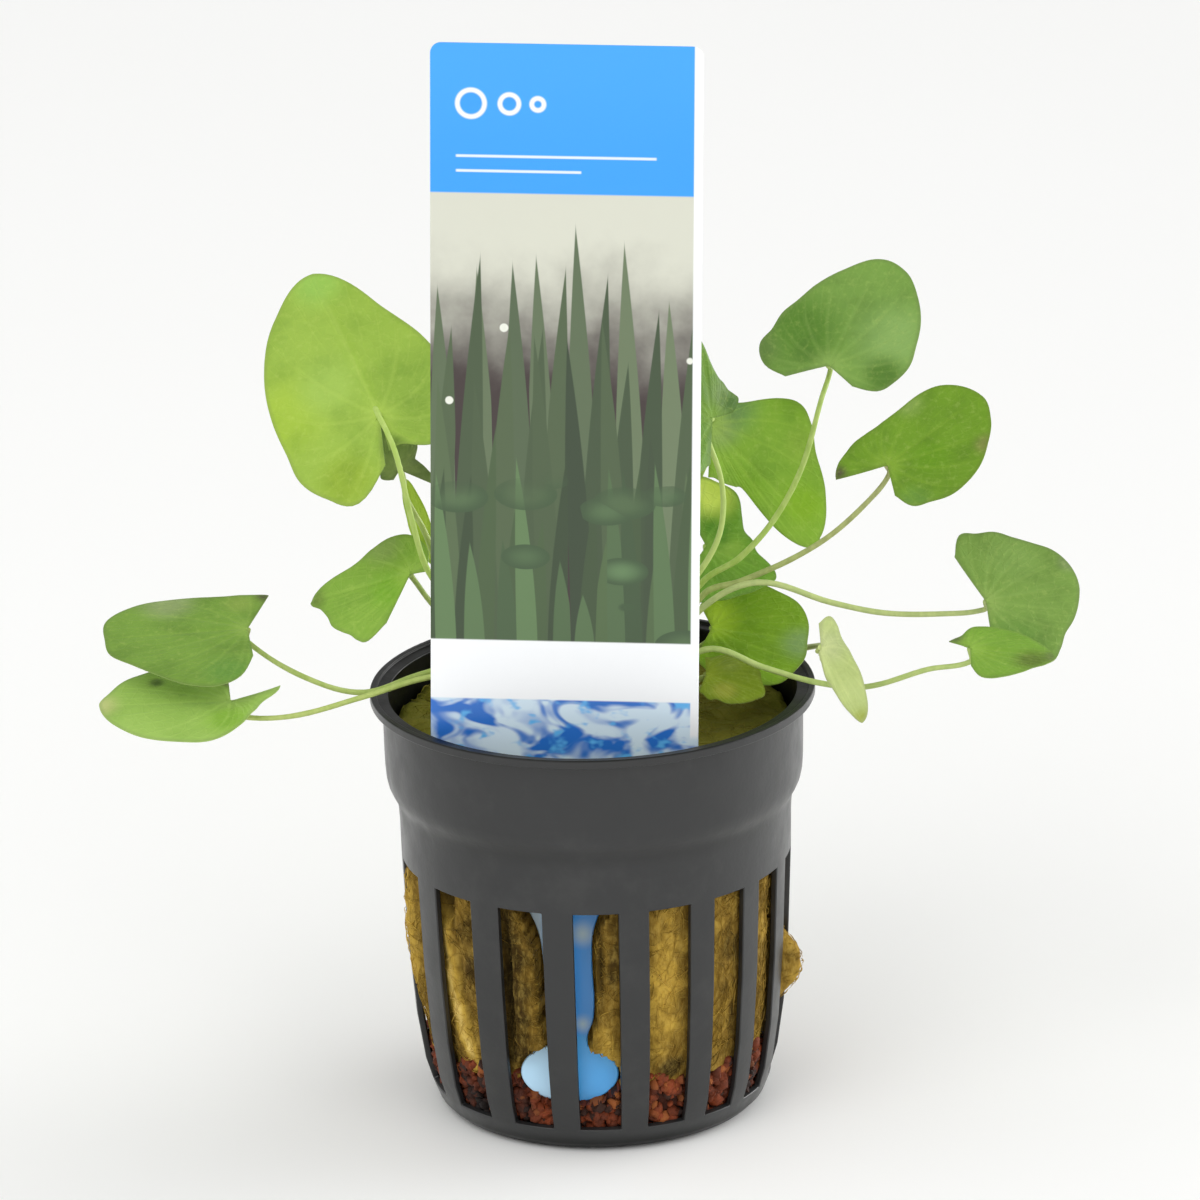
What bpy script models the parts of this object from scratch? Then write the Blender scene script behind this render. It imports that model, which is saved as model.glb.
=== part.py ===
"""A floating heart plant in a slotted net pot, with its rock wool, a clay layer below and a plant label.

Lengths below are in millimetres. The origin is the middle of the pot's base, +Z is up,
and the printed side of the label faces -Y.
"""

from collections import namedtuple
from math import acos, cos, pi, radians, sin, sqrt

import bmesh
import bpy
from mathutils import Matrix, Vector
from mathutils.geometry import interpolate_bezier

MM = 0.001
GAP = 0.3

# Pot: its profile is the outer face from the base's edge up to the rim, as (radius, height)
POT_HEIGHT = 54.0
POT_WALL = 0.8
RIM_RADIUS = 27.5
COLLAR_RADIUS = 26.0
SLOT_BOTTOM = 3.3
SLOT_TOP = 32.8
POT_PROFILE = (
    (18.2, 0.0),
    (19.6, 0.4),
    (20.5, 1.3),
    (21.3, SLOT_BOTTOM),
    (22.1, 6.0),
    (23.0, 12.0),
    (23.7, 21.0),
    (24.2, SLOT_TOP),
    (24.4, 40.2),
    (25.9, 42.4),
    (COLLAR_RADIUS, 52.8),
    (RIM_RADIUS, 52.9),
    (RIM_RADIUS, POT_HEIGHT),
)

# Slots: the ribs at the two sides have crept round, so the slots are not quite evenly spaced
SLOT_COUNT = 16
SLOT_WIDTH = 13.4
RIB_TURN = -0.7
RIB_CREEP = -8.0

# Rock wool and the clay layer under it. FACET_SAG is how far a flat facet of the pot cuts inside its circle,
# and the step clearances keep both fillings inside the pot where its wall bends.
FACET_SAG = 0.15
CLAY_ROWS = (1.1, 3.0, 6.0, 8.6)
CLAY_STEP_CLEAR = 0.6
WOOL_ROWS = (CLAY_ROWS[-1] + GAP, 28.0, 39.5, 43.0, 47.5)
WOOL_TOP = 49.8
WOOL_TOP_RINGS = ((19.0, WOOL_TOP - 0.6), (9.0, WOOL_TOP))
WOOL_TOP_WAVE = 0.5
WOOL_STEP_CLEAR = 1.2
WOOL_BULGE = 0.35
LUMP_NOMINAL = 90.0
LUMP_HEIGHT = 17.9
LUMP_HALF_HEIGHT = 5.0
LUMP_HALF_ANGLE = 5.4
LUMP_SHOULDER_ANGLE = 3.0
LUMP_SHOULDER_HEIGHT = 3.0
LUMP_REACH = 2.9

# Label: its own frame has its origin near the middle of the oval foot
LABEL_FOOT = (-3.9, -18.8, 10.9)
LABEL_LEAN_BACK = 3.9
LABEL_LEAN_RIGHT = 1.3
LABEL_YAW = -4.4
LABEL_THICKNESS = 0.5
LABEL_TOP = 127.9
LABEL_CORNER = 1.3
CARD_SHIFT = -0.8
CARD_SHIFT_FROM = 9.0
CARD_SHIFT_TO = 20.8
GROOVE_REACH = 9.0
GROOVE_TOP = 19.0
SLIT_OVERLAP = 0.1
CUT_TOP = 60.0
FOOT_HALF_WIDTH = 6.0
FOOT_HALF_HEIGHT = 3.8
FOOT_MIDDLE = -0.7
FOOT_STEPS = 6
LABEL_SHOULDER = (
    (16.3, 39.0),
    (15.2, 34.0),
    (11.8, 29.0),
    (7.8, 24.8),
    (4.4, 20.0),
    (3.3, 17.0),
    (3.0, 13.5),
    (2.9, 6.4),
    (2.2, 4.2),
)

# Plant
BLADE_THICKNESS = 0.5
BLADE_COLUMNS = 16
BLADE_RINGS = (0.4, 0.75, 1.0)
STEM_BASE_RADIUS = 0.5
STEM_END_RADIUS = 0.35
STEM_HOOK = 2.0
CROWN_TOP = WOOL_TOP + 0.8
CROWN_RISE = 2.5
CROWN_SPREAD = 1.5

# joint: where the stem meets the blade. turn: heading, rise and roll of the midrib in degrees, with heading 0
# to the right and 90 to the back, and roll lifting the blade's left side. tip: joint to apex.
# left, right: the angle from midrib to lobe tip, then the reaches at even steps of that angle.
# cup lifts the margin, droop lowers the apex and fold lifts both halves from the midrib. root: where the stem
# leaves the rock wool. way: its bends.
Leaf = namedtuple("Leaf", "joint turn tip left right cup droop root way fold", defaults=(0.0,))

LEAVES = {
    "upper_left": Leaf(
        joint=(-25, -5, 91), turn=(118, 39, 149), tip=21.5,
        left=(188, 15, 12, 10.5, 10, 10, 8, 5, 5), right=(163, 19.5, 16.5, 14, 12.5, 12.5, 12, 11.5, 6.5),
        cup=1.0, droop=1.5, fold=0.1,
        root=(-1.9, -0.2), way=((-12.5, -2, 60), (-19.5, -6, 71), (-21.5, -8, 79), (-23.2, -9.8, 88.2)),
    ),
    "behind_left": Leaf(
        joint=(-23, 3, 81.5), turn=(113, 41, -27), tip=11,
        left=(132, 8, 6, 4, 3, 2.5, 2.5, 2, 1.5), right=(138, 8, 5.5, 4, 2.5, 2.5, 3, 4, 6),
        cup=0.6, droop=0.8,
        root=(-1.5, 1.1), way=((-12, 2.5, 60), (-18, 1.5, 68.5), (-20.3, 1.8, 74.2), (-22.3, 2.8, 78)),
    ),
    "young_left": Leaf(
        joint=(-19.5, 3.5, 69.5), turn=(107, 37, -33), tip=12.5,
        left=(30, 12, 10, 7.5, 6, 4.5, 3.5, 2.5, 2), right=(41, 9.5, 7, 5, 4, 3.5, 3, 2.5, 2),
        cup=0.3, droop=0.5,
        root=(-3.9, 2.5), way=((-11, 5, 58.5), (-18, 4.5, 64.5)),
    ),
    "mid_left": Leaf(
        joint=(-22, -3, 70), turn=(172, -16, -43), tip=13,
        left=(59, 12, 11.5, 11.5, 11, 10.5, 10.5, 10, 7), right=(187, 8, 6.5, 6, 5.5, 4.5, 3.5, 2.5, 2),
        cup=0.5, droop=1.0,
        root=(-3.3, 1.1), way=((-12.5, 1, 58), (-19, 0, 64.5)),
    ),
    "far_left_high": Leaf(
        joint=(-42, -6, 64.5), turn=(-173, -1, -14), tip=17.5,
        left=(91, 17.5, 16, 15, 14.5, 14, 13, 10.5, 6), right=(116, 17.5, 15, 11.5, 9, 7.5, 7, 7, 7.5),
        cup=0.6, droop=0.8,
        root=(-3.5, -0.5), way=((-14, -2.5, 58), (-21, -4, 57.3), (-28, -6.5, 56), (-35, -9, 59)),
    ),
    "far_left_low": Leaf(
        joint=(-44, -14, 58), turn=(-179, -1, -14), tip=16,
        left=(201, 13.5, 10.5, 9, 6, 4, 3.5, 4, 6.5), right=(86, 15, 14, 12.5, 11.5, 10.5, 9.5, 7.5, 4),
        cup=0.6, droop=0.8,
        root=(-2.9, -2.0), way=((-14, -4.8, 57.5), (-20.5, -6, 57.5), (-28, -9.5, 56.5), (-37, -14, 55.8)),
    ),
    "upper_right": Leaf(
        joint=(30, 8, 92), turn=(50, 47, 25), tip=15.5,
        left=(127, 13, 11, 9.5, 9, 8.5, 9, 8, 5.5), right=(110, 15.5, 14, 12.5, 11, 10, 8.5, 7, 4),
        cup=0.8, droop=1.5,
        root=(1.6, -1.0), way=((14, 0.5, 67), (18.5, 1, 69.7), (23, 2.5, 74.3), (26.5, 4, 80.5), (29, 7, 88)),
    ),
    "mid_right": Leaf(
        joint=(36.5, -6, 83.5), turn=(28, 27, 28), tip=15,
        left=(157, 13, 8, 6, 5.5, 5.5, 5.5, 6, 6.5), right=(118, 14, 12.5, 11.5, 10.5, 9.5, 8, 7, 4.5),
        cup=0.8, droop=1.0,
        root=(3.5, -0.1),
        way=((14, -1.5, 66), (18.5, -1.5, 67.5), (25, -2, 70.5), (30, -3, 74), (35, -5, 79.5)),
    ),
    "far_right_high": Leaf(
        joint=(48.5, -4, 65), turn=(15, 4, 40), tip=12,
        left=(108, 12, 11.5, 10.5, 10, 10, 9.5, 9.5, 7), right=(100, 11.5, 11, 10.5, 11, 11.5, 10, 8.5, 6.5),
        cup=0.8, droop=1.0,
        root=(3.1, -1.6),
        way=((13.5, -4.5, 65), (20.5, -5, 68.5), (29.5, -4.5, 65.5), (36, -4, 63.8), (43, -4, 63.5)),
    ),
    "far_right_low": Leaf(
        joint=(46, -14, 62.5), turn=(-16, -3, 14), tip=10.5,
        left=(162, 8.5, 7, 5.5, 4.5, 4, 3, 3, 3), right=(75, 10, 9, 8.5, 8, 7.5, 7, 6, 3.5),
        cup=0.4, droop=0.5,
        root=(0.7, -3.4),
        way=((14, -6.5, 60.5), (21, -6.5, 58), (27.5, -6, 55.7), (33.5, -7.5, 55.5), (41, -11.5, 59)),
    ),
    "inner_right": Leaf(
        joint=(15.5, 12, 83.5), turn=(-27, -41, 41), tip=19.5,
        left=(127, 16.5, 13.5, 12.5, 11, 5.5, 4, 4, 3.5), right=(48, 19.5, 16, 9.5, 8.5, 8, 7.5, 7, 7),
        cup=0.8, droop=1.0,
        root=(-0.4, 1.9), way=((6, 8, 58.5), (10.5, 14, 69), (15, 15.5, 78)),
    ),
    "behind_label_right": Leaf(
        joint=(15.5, 2, 87.5), turn=(102, 53, 23), tip=10.5,
        left=(165, 8.5, 7, 6.5, 6.5, 7, 8.5, 10, 6.5), right=(76, 7.5, 6, 5.5, 5, 5, 5, 4, 3),
        cup=0.8, droop=1.0,
        root=(1.0, 1.6), way=((5, 1, 58), (12.5, -1.5, 67.5), (16, 0, 73), (16.5, 2, 79)),
    ),
    "light_right": Leaf(
        joint=(14.5, 8, 69), turn=(-15, -21, 35), tip=9.5,
        left=(139, 6.5, 6, 5.5, 6.5, 8.5, 9, 9.5, 6.5), right=(96, 9, 8.5, 8, 8, 8, 8.5, 9, 7),
        cup=0.6, droop=0.8,
        root=(1.8, 0.5), way=((6, 2.5, 57.5), (11, 6, 64.5)),
    ),
    "pot_right": Leaf(
        joint=(15, 6, 59), turn=(-10, -6, 30), tip=12,
        left=(122, 12, 11.5, 10, 9, 8, 6.5, 5, 4), right=(102, 12.5, 12.5, 12.5, 11, 9.5, 8, 6.5, 5.5),
        cup=0.6, droop=0.8,
        root=(2.3, 2.7), way=((8, 5.5, 53.5),),
    ),
    "pot_right_low": Leaf(
        joint=(14, -4, 56.5), turn=(-26, -10, 23), tip=8,
        left=(118, 7, 6.5, 5, 4.5, 4, 3.5, 3, 3), right=(78, 7.5, 7, 6.5, 6, 5, 5, 4, 3.5),
        cup=0.4, droop=0.6,
        root=(2.2, -2.8), way=((7, -4.5, 52.5),),
    ),
    "rim_right": Leaf(
        joint=(28, -11, 62), turn=(-41, -52, 30), tip=10.5,
        left=(156, 7, 4.5, 3.5, 3, 3, 3.5, 4, 3), right=(54, 8.5, 5.5, 4, 2, 1.5, 1, 1, 0.5),
        cup=0.4, droop=0.5,
        root=(3.2, 1.4), way=((11, 4, 52.3), (19, 7.5, 53.8), (26, 8.5, 55), (28.5, 4, 57), (29, -3, 59.5)),
    ),
    "back_left": Leaf(
        joint=(-7, 15, 82), turn=(125, 20, -12), tip=15,
        left=(118, 12.5, 10.5, 10, 9.5, 6), right=(122, 12.5, 10.5, 10, 9.5, 6),
        cup=0.8, droop=1.2,
        root=(-2.2, 2.8), way=((-6, 8, 60), (-8, 13, 72)),
    ),
    "back_middle": Leaf(
        joint=(0, 20, 70), turn=(75, 4, 10), tip=14,
        left=(120, 11.5, 10, 9, 8.5, 5.5), right=(116, 12, 10.5, 9.5, 8, 5),
        cup=0.7, droop=1.0,
        root=(-0.7, 3.4), way=((-1, 11, 59), (0, 17, 66)),
    ),
    "back_right": Leaf(
        joint=(-2, 12, 98), turn=(70, 40, 14), tip=15.5,
        left=(128, 12.5, 10.5, 10, 9, 5.5), right=(120, 13, 11, 10, 8.5, 5),
        cup=0.9, droop=1.4,
        root=(0.9, 3.4), way=((3, 9, 62), (2, 13, 78), (-1, 13.5, 90)),
    ),
}

LABEL_TURN = (
    Matrix.Rotation(radians(LABEL_YAW), 4, "Z")
    @ Matrix.Rotation(radians(LABEL_LEAN_RIGHT), 4, "Y")
    @ Matrix.Rotation(radians(-LABEL_LEAN_BACK), 4, "X")
)


def clear_scene():
    for old in list(bpy.data.objects):
        bpy.data.objects.remove(old, do_unlink=True)


def material(name, colour, roughness):
    made = bpy.data.materials.new(name)
    made.use_nodes = True
    shader = made.node_tree.nodes["Principled BSDF"]
    shader.inputs["Base Color"].default_value = (*colour, 1.0)
    shader.inputs["Roughness"].default_value = roughness
    shader.inputs["Metallic"].default_value = 0.0
    return made


def mesh_object(name, points, faces, finish, smooth_angle=40.0):
    """An object from points in millimetres."""
    mesh = bpy.data.meshes.new(name)
    mesh.from_pydata([Vector(p) * MM for p in points], [], faces)
    mesh.validate()
    mesh.shade_smooth()
    mesh.set_sharp_from_angle(angle=radians(smooth_angle))
    if finish:
        mesh.materials.append(finish)
    made = bpy.data.objects.new(name, mesh)
    bpy.context.scene.collection.objects.link(made)
    return made


def thicken(made, thickness, offset):
    solidify = made.modifiers.new("thickness", "SOLIDIFY")
    solidify.thickness = thickness * MM
    solidify.offset = offset
    solidify.use_even_offset = True
    solidify.use_rim = True


def cut(made, cutter):
    """Takes the cutter's shape out of an object, and leaves the cutter as a guide."""
    cutter.hide_render = True
    cutter.display_type = "WIRE"
    boolean = made.modifiers.new(cutter.name, "BOOLEAN")
    boolean.operation = "DIFFERENCE"
    boolean.solver = "EXACT"
    boolean.object = cutter


def between(low, high, share):
    return low + (high - low) * share


def along(profile, height):
    """The radius of a (radius, height) profile at a height."""
    for (radius_0, z_0), (radius_1, z_1) in zip(profile, profile[1:]):
        if z_0 <= height <= z_1 and z_1 > z_0:
            return between(radius_0, radius_1, (height - z_0) / (z_1 - z_0))
    return profile[-1][0]


def rib_angle(nominal):
    """Where a nominal angle round the pot really is; 0 is the front and 90 the right, in degrees."""
    return nominal + RIB_TURN + RIB_CREEP * sin(radians(nominal)) ** 4


def round_point(radius, nominal, height):
    angle = radians(rib_angle(nominal))
    return (radius * sin(angle), -radius * cos(angle), height)


def lathe(rows, nominals, radius_at, skip=None):
    """A turned skin: one ring of points for each (key, height) row, and faces except where skip says so."""
    points = []
    for key, height in rows:
        points += [round_point(radius_at(key, nominal), nominal, height) for nominal in nominals]
    count = len(nominals)
    faces = []
    for row in range(len(rows) - 1):
        for column in range(count):
            if skip and skip(row, column):
                continue
            after = (column + 1) % count
            faces.append(
                (
                    row * count + column,
                    row * count + after,
                    (row + 1) * count + after,
                    (row + 1) * count + column,
                )
            )
    return points, faces


def make_pot():
    pitch = 360 / SLOT_COUNT
    half = SLOT_WIDTH / 2
    steps = (-half, 0, half)
    nominals = [k * pitch + step for k in range(SLOT_COUNT) for step in steps]
    heights = [height for _, height in POT_PROFILE]
    first = heights.index(SLOT_BOTTOM)
    last = heights.index(SLOT_TOP)

    def in_slot(row, column):
        return first <= row < last and column % len(steps) < 2

    points, faces = lathe(POT_PROFILE, nominals, lambda radius, nominal: radius, in_slot)
    faces.append(tuple(reversed(range(len(nominals)))))
    pot = mesh_object("pot", points, faces, material("pot plastic", (0.045, 0.046, 0.05), 0.42))
    thicken(pot, POT_WALL, -1.0)
    return pot


def inner_radius(height):
    return along(POT_PROFILE, height) - POT_WALL - GAP - FACET_SAG


def bump(offset, half_width):
    """1 in the middle and 0 at the ends, with a smooth shoulder."""
    share = min(1.0, abs(offset) / half_width)
    return 0.5 + 0.5 * cos(pi * share)


def ring_nominals():
    """Two columns for each slot: its middle and the rib after it."""
    return [k * 180 / SLOT_COUNT for k in range(2 * SLOT_COUNT)]


def in_slot_middle(nominal):
    return nominal % (360 / SLOT_COUNT) == 0


def wool_radius(height, nominal):
    """The wool fills the pot, bulges a little into each slot and pushes one lump out on the right."""
    bulge = WOOL_BULGE if in_slot_middle(nominal) and height < SLOT_TOP else 0.0
    lump = bump(nominal - LUMP_NOMINAL, LUMP_HALF_ANGLE) * bump(height - LUMP_HEIGHT, LUMP_HALF_HEIGHT)
    return inner_radius(height - WOOL_STEP_CLEAR) + max(bulge, LUMP_REACH * sqrt(lump))


def make_rock_wool():
    sides = (-LUMP_HALF_ANGLE, -LUMP_SHOULDER_ANGLE, LUMP_SHOULDER_ANGLE, LUMP_HALF_ANGLE)
    levels = (-LUMP_HALF_HEIGHT, -LUMP_SHOULDER_HEIGHT, 0.0, LUMP_SHOULDER_HEIGHT, LUMP_HALF_HEIGHT)
    nominals = sorted(ring_nominals() + [LUMP_NOMINAL + side for side in sides])
    heights = sorted(list(WOOL_ROWS) + [LUMP_HEIGHT + level for level in levels])
    points, faces = lathe([(height, height) for height in heights], nominals, wool_radius)
    count = len(nominals)
    for radius, height in WOOL_TOP_RINGS:
        start = len(points) - count
        for column, nominal in enumerate(nominals):
            wave = WOOL_TOP_WAVE * sin(radians(3 * nominal)) * radius / WOOL_TOP_RINGS[0][0]
            points.append(round_point(radius, nominal, height + min(0.0, wave)))
            after = (column + 1) % count
            faces.append((start + column, start + after, start + count + after, start + count + column))
    faces += lids(len(points), count)
    wool = mesh_object("rock_wool", points, faces, material("rock wool", (0.36, 0.25, 0.06), 0.95), 60)
    slit = LABEL_THICKNESS / 2 + GAP
    cut(wool, label_cutter("label_slit", slit, slit))
    cut(wool, label_cutter("neck_groove", -SLIT_OVERLAP, GROOVE_REACH, GROOVE_TOP))
    return wool


def lids(total, count):
    """The flat faces that close a turned skin at its last ring and its first."""
    return [tuple(range(total - count, total)), tuple(reversed(range(count)))]


def make_clay():
    nominals = ring_nominals()
    rows = [(height - CLAY_STEP_CLEAR, height) for height in CLAY_ROWS]
    points, faces = lathe(rows, nominals, lambda height, nominal: inner_radius(height))
    faces += lids(len(points), len(nominals))
    clay = mesh_object("clay_layer", points, faces, material("red clay", (0.2, 0.05, 0.025), 0.9), 60)
    cut(clay, label_cutter("foot_groove", LABEL_THICKNESS / 2 + GAP, GROOVE_REACH, GROOVE_TOP))
    return clay


def card_shift(up):
    """The card's middle stands a little to the left of its foot's."""
    share = (up - CARD_SHIFT_FROM) / (CARD_SHIFT_TO - CARD_SHIFT_FROM)
    return CARD_SHIFT * min(1.0, max(0.0, share))


def label_outline(grow=0.0, top=LABEL_TOP):
    """The card's outline in its own plane, anticlockwise, as (across, up), up to the height given as top."""
    neck_angle = acos(LABEL_SHOULDER[-1][0] / FOOT_HALF_WIDTH)
    foot_width = FOOT_HALF_WIDTH + grow
    foot_height = FOOT_HALF_HEIGHT + grow
    right = [(half + grow, up) for half, up in LABEL_SHOULDER if up < top]
    foot = []
    for step in range(FOOT_STEPS + 1):
        angle = between(-pi / 2, neck_angle, step / FOOT_STEPS)
        foot.append((foot_width * cos(angle), FOOT_MIDDLE + foot_height * sin(angle)))
    foot[0] = (0.0, foot[0][1])
    half = right[0][0]
    if top < LABEL_TOP:
        corner = [(half, top)]
    else:
        inset = LABEL_CORNER * (1 - sqrt(0.5))
        corner = [(half, top - LABEL_CORNER), (half - inset, top - inset), (half - LABEL_CORNER, top)]
    right_side = foot + right[::-1] + corner
    left_side = [(-across, up) for across, up in reversed(right_side)]
    return [(across + card_shift(up), up) for across, up in right_side + left_side[:-1]]


def label_place(points):
    foot = Vector(LABEL_FOOT)
    return [foot + LABEL_TURN @ Vector(p) for p in points]


def make_label():
    outline = label_outline()
    points = label_place((across, 0, up) for across, up in outline)
    face = tuple(range(len(outline)))
    label = mesh_object("label", points, [face], material("label card", (0.75, 0.8, 0.85), 0.35), 30)
    thicken(label, LABEL_THICKNESS, 0.0)
    return label


def label_cutter(name, behind, in_front, top=CUT_TOP):
    """A block with the label's outline, grown by the gap, from behind the card to in front of it."""
    outline = label_outline(GAP, top)
    count = len(outline)
    points = label_place((across, depth, up) for depth in (behind, -in_front) for across, up in outline)
    faces = [tuple(range(count)), tuple(reversed(range(count, 2 * count)))]
    for i in range(count):
        after = (i + 1) % count
        faces.append((after, i, count + i, count + after))
    cutter = mesh_object(name, points, faces, None)
    mesh = bmesh.new()
    mesh.from_mesh(cutter.data)
    bmesh.ops.recalc_face_normals(mesh, faces=mesh.faces)
    mesh.to_mesh(cutter.data)
    mesh.free()
    return cutter


def leaf_axes(leaf):
    """The blade's axes: along the midrib, to its left and out of its upper face."""
    heading, rise, roll = (radians(a) for a in leaf.turn)
    forward = Vector((cos(rise) * cos(heading), cos(rise) * sin(heading), sin(rise)))
    level = Vector((-sin(heading), cos(heading), 0))
    above = forward.cross(level)
    left = cos(roll) * level + sin(roll) * above
    return forward, left, forward.cross(left)


def reach_at(leaf, share):
    """The blade's reach at a share: -1 is the right lobe's tip, 0 the apex and 1 the left lobe's tip."""
    side = leaf.left if share >= 0 else leaf.right
    other = leaf.right if share >= 0 else leaf.left
    reaches = [other[1], leaf.tip, *side[1:], side[-1]]
    place = abs(share) * (len(side) - 1)
    index = min(int(place), len(side) - 2)
    part = place - index
    before, start, end, after = reaches[index:index + 4]
    return 0.5 * (
        2 * start
        + (end - before) * part
        + (2 * before - 5 * start + 4 * end - after) * part ** 2
        + (3 * start - before - 3 * end + after) * part ** 3
    )


def blade_point(leaf, share, part):
    """A point of the blade, at a part of the way from the joint to the margin."""
    angle = radians(share * (leaf.left[0] if share >= 0 else leaf.right[0]))
    reach = reach_at(leaf, share) * part
    x = reach * cos(angle)
    y = reach * sin(angle)
    size = leaf.tip
    lift = leaf.cup * (x * x + y * y) / size ** 2 - leaf.droop * max(0.0, x / size) ** 2 + leaf.fold * abs(y)
    forward, left, up = leaf_axes(leaf)
    return Vector(leaf.joint) + forward * x + left * y + up * lift


def make_blade(place, leaf, finish):
    shares = [2 * column / BLADE_COLUMNS - 1 for column in range(BLADE_COLUMNS + 1)]
    points = [blade_point(leaf, 0, 0)]
    points += [blade_point(leaf, share, part) for part in BLADE_RINGS for share in shares]
    count = len(shares)
    faces = [(0, 1 + column, 2 + column) for column in range(count - 1)]
    for ring in range(len(BLADE_RINGS) - 1):
        inner = 1 + ring * count
        outer = inner + count
        faces += [(inner + c, outer + c, outer + c + 1, inner + c + 1) for c in range(count - 1)]
    blade = mesh_object("leaf_" + place, points, faces, finish, 80)
    thicken(blade, BLADE_THICKNESS, 0.0)
    return blade


def smooth_path(knots, steps):
    """Points on one smooth curve through the knots."""
    knots = [Vector(k) for k in knots]
    ends = [2 * knots[0] - knots[1]] + knots + [2 * knots[-1] - knots[-2]]
    points = [knots[0]]
    for before, start, end, after in zip(ends, ends[1:], ends[2:], ends[3:]):
        reach = (end - start).length / 3
        out_of = (end - before).normalized() * reach
        into = (after - start).normalized() * reach
        points += interpolate_bezier(start, start + out_of, end - into, end, steps + 1)[1:]
    return points


def make_stem(place, leaf, finish):
    _, _, up = leaf_axes(leaf)
    joint = Vector(leaf.joint)
    end = joint - up * (BLADE_THICKNESS / 2 + GAP)
    root = Vector((*leaf.root, CROWN_TOP))
    above_root = (leaf.root[0] * CROWN_SPREAD, leaf.root[1] * CROWN_SPREAD, CROWN_TOP + CROWN_RISE)
    path = smooth_path([root, above_root, *leaf.way, joint - up * STEM_HOOK, end], 2)
    curve = bpy.data.curves.new("stem_" + place, "CURVE")
    curve.dimensions = "3D"
    curve.bevel_depth = MM
    curve.bevel_resolution = 0
    curve.use_fill_caps = True
    spline = curve.splines.new("POLY")
    spline.points.add(len(path) - 1)
    for index, (point, at) in enumerate(zip(spline.points, path)):
        point.co = (*(at * MM), 1.0)
        point.radius = between(STEM_BASE_RADIUS, STEM_END_RADIUS, index / (len(path) - 1))
    curve.materials.append(finish)
    stem = bpy.data.objects.new("stem_" + place, curve)
    bpy.context.scene.collection.objects.link(stem)
    return stem


def make_plant():
    for place, leaf in LEAVES.items():
        make_blade(place, leaf, material("leaf " + place, (0.13, 0.3, 0.03), 0.4))
        make_stem(place, leaf, material("stem " + place, (0.35, 0.42, 0.12), 0.45))


def main():
    clear_scene()
    make_pot()
    make_rock_wool()
    make_clay()
    make_label()
    make_plant()


main()
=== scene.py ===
"""The looks of a floating heart plant in a slotted net pot, with its rock wool, clay layer and plant label.

Lengths are in millimetres and angles in degrees unless a name says otherwise; MM turns them into metres.
The plant, the pot and the label repeat the driving sizes of the solid model that they stand for.
"""

from collections import namedtuple
from functools import partialmethod
from math import cos, pi, radians, sin

import bpy
import numpy as np
from mathutils import Matrix, Vector, noise
from mathutils.geometry import interpolate_bezier


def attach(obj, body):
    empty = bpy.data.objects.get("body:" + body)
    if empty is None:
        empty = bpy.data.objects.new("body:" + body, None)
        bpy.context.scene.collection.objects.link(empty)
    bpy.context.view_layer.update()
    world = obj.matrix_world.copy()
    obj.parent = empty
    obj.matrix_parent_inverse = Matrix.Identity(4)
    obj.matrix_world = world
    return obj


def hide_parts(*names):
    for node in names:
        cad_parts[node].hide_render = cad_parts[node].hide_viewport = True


MM = 0.001
SEED = 7

# Camera and studio
CAMERA_TARGET = (1.2, 0.0, 65.0)
CAMERA_ELEVATION = 19.0
CAMERA_ROLL = 1.4
CAMERA_DISTANCE = 1000.0
CAMERA_LENS = 243.9
FLOOR_SIZE = 3000.0
SKY_BASE = 0.39
# What the sky adds toward an axis: the axis, the closeness to it where this starts and where it is full, and
# how much it adds
SKY_PARTS = (
    ((0.0, 0.0, 1.0), -0.2, 1.0, 0.18),
    ((0.0, -1.0, 0.0), -0.4, 0.9, 0.46),
    ((0.92, 0.38, 0.02), 0.7, 1.0, 5.5),
    ((-0.92, 0.35, 0.17), 0.65, 1.0, 0.9),
)

# Pot: the outer face from the base's edge up to the rim, as (radius, height)
POT_WALL = 0.8
SLOT_BOTTOM = 3.3
SLOT_TOP = 32.8
POT_PROFILE = (
    (18.2, 0.0), (19.6, 0.4), (20.5, 1.3), (21.3, SLOT_BOTTOM), (22.1, 6.0), (23.0, 12.0), (23.7, 21.0),
    (24.2, SLOT_TOP), (24.4, 40.2), (25.9, 42.4), (26.0, 52.8), (27.5, 52.9), (27.5, 54.0),
)
# The rows that take the profile's place between their first and last heights, to ease its step
POT_STEP = (
    (24.28, 37.5), (24.36, 39.0), (24.5, 40.0), (24.8, 40.8), (25.2, 41.5), (25.55, 42.3), (25.77, 43.3),
    (25.88, 44.8), (25.93, 47.0),
)
SLOT_COUNT = 16
SLOT_PITCH = 360 / SLOT_COUNT
SLOT_WIDTH = 13.4
RIB_TURN = -0.7
RIB_CREEP = -8.0
SLOT_COLUMNS = 5
RIB_COLUMNS = 4
POT_BEVEL = 0.2
POT_SHARP_ANGLE = 50.0
PROFILE_STEP = 2.0

# Fillings
GAP = 0.3
WOOL_BOTTOM = 8.9
WOOL_SHOULDER = 47.5
WOOL_TOP = 49.8
WOOL_RADIUS = 23.0
WOOL_STEP_CLEAR = 1.2
WOOL_SWELL = 0.35
WOOL_ROUGH = 0.3
WOOL_COLUMNS = 256
WOOL_ROWS = 104
WOOL_TOP_RINGS = 30
WOOL_TOP_RADIUS = 24.0
WOOL_TOP_DOME = 0.6
LUMP_NOMINAL = 90.0
LUMP_HEIGHT = 17.9
LUMP_HALF_HEIGHT = 5.0
LUMP_HALF_ANGLE = 5.4
FIBRE_COUNT = 3000
TOP_FIBRE_COUNT = 700
FIBRE_RADIUS = 0.05
FIBRE_SHARES = np.linspace(0, 1, 6)
SIDE_FIBRES = (1.5, 5.0)
TOP_FIBRES = (2.0, 6.0)
LUMP_FIBRE = 1.2
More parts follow.
